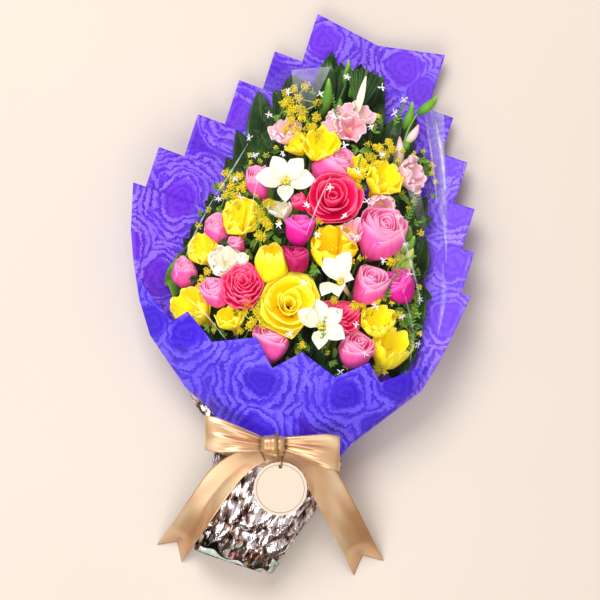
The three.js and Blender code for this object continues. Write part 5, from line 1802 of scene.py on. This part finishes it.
band()
bow_loop(-1, 64, 11, "satin_loop_left", "bow_loop_left")
bow_loop(1, 63, -9, "satin_loop_right", "bow_loop_right")
knot()
tail("satin_tail_left", *TAILS["left"], "ribbon_tail_left")
tail("satin_tail_right", *TAILS["right"], "ribbon_tail_right")


# ---- tag and cord ----
TAG_AT = from_picture(280.5, 487.5)
TAG_HOLE = from_picture(280.5, 465.5)
TAG_THICK = 1.2
TAG_Z = 80.5
RING_RADIUS = 22.6
RING_HALF = 0.25


def tag():
    dress("tag", CARD)
    radius = np.array([[RING_RADIUS - RING_HALF], [RING_RADIUS + RING_HALF]])
    x = TAG_AT[0] + radius * np.cos(turns(96))
    y = TAG_AT[1] + radius * np.sin(turns(96))
    points = stacked(x, y, TAG_Z + TAG_THICK + 0.05)
    surface("tag_ring", points, RING_INK, "card", loop=True)


# The cord's way round the knot: [along the bow, up, above the knot's middle] in mm.
CORD_ROUND = [
    [5, -10.4, 9.5], [4.5, 0, KNOT_HALF[2] + 1.6], [4, 10.2, 8], [3.6, 10.6, -3], [3.4, 7.5, -9.6],
    [3.2, 0, -KNOT_HALF[2] - 1.55], [3.4, -8, -10.2],
]


def string():
    points = [bow_place(along, up, KNOT_MID + z) for along, up, z in CORD_ROUND]
    for aside, up, z in [[0.2, 4.5, -2.2], [0, 0, TAG_THICK / 2], [-0.2, 4.5, TAG_THICK + 3]]:
        points.append([TAG_HOLE[0] + aside, TAG_HOLE[1] + up, TAG_Z + z])
    shape = Shape()
    tube(shape, smooth_line([*points, points[0]], 8), 0.8, sides=8)
    piece("gold_string", shape, [CORD_LOOK], "cord", ["tag_cord"])


tag()
string()


# ---- camera, light and floor ----
PICTURE_MIDDLE = (300, 300)
FRAME_WIDTH = 0.57  # metres across the picture at the blooms' height
BLOOM_HEIGHT = 0.06
CAMERA_HEIGHT = 3.2
SENSOR = 36
FLOOR_HALF = 6  # metres


def camera():
    x, y = from_picture(*PICTURE_MIDDLE)
    made = placed("camera", bpy.data.cameras.new("camera"))
    made.location = (x / 1000, (y - BACK_Y) / 1000, CAMERA_HEIGHT)
    made.rotation_euler = (0, 0, LEAN)
    made.data.sensor_width = SENSOR
    made.data.lens = SENSOR * (CAMERA_HEIGHT - BLOOM_HEIGHT) / FRAME_WIDTH
    bpy.context.scene.camera = made


def area_light(name, at, target, size, power):
    made = placed(name, bpy.data.lights.new(name, "AREA"))
    made.data.energy = power
    made.data.size = size
    made.location = at
    made.rotation_euler = (Vector(target) - Vector(at)).to_track_quat("-Z", "Y").to_euler()


def stage():
    mesh = bpy.data.meshes.new("floor")
    corners = [(x * FLOOR_HALF, y * FLOOR_HALF, 0) for x, y in ((-1, -1), (1, -1), (1, 1), (-1, 1))]
    mesh.from_pydata(corners, [], [(0, 1, 2, 3)])
    mesh.materials.append(FLOOR_LOOK)
    floor = placed("floor", mesh)
    world = bpy.data.worlds.new("studio")
    world.use_nodes = True
    tree = world.node_tree
    place = tree.nodes.new("ShaderNodeTexCoord")
    axes = tree.nodes.new("ShaderNodeSeparateXYZ")
    ramp = tree.nodes.new("ShaderNodeValToRGB")
    tree.links.new(place.outputs["Generated"], axes.inputs[0])
    tree.links.new(axes.outputs["Z"], ramp.inputs["Fac"])
    tree.links.new(ramp.outputs["Color"], tree.nodes["Background"].inputs["Color"])
    fill_ramp(ramp, [(0.0, "#3a2a22"), (0.4, "#8a7464"), (0.72, "#f4e6d8"), (1.0, "#ffffff")])
    tree.nodes["Background"].inputs["Strength"].default_value = 0.75
    bpy.context.scene.world = world
    area_light("key", (-0.9, 1.1, 2.2), (0.1, 0, 0), 1.3, 52)
    area_light("fill", (-0.05, -1.4, 1.7), (0, 0, 0), 1.8, 24)


camera()
stage()
bpy.context.scene.view_settings.view_transform = "Standard"
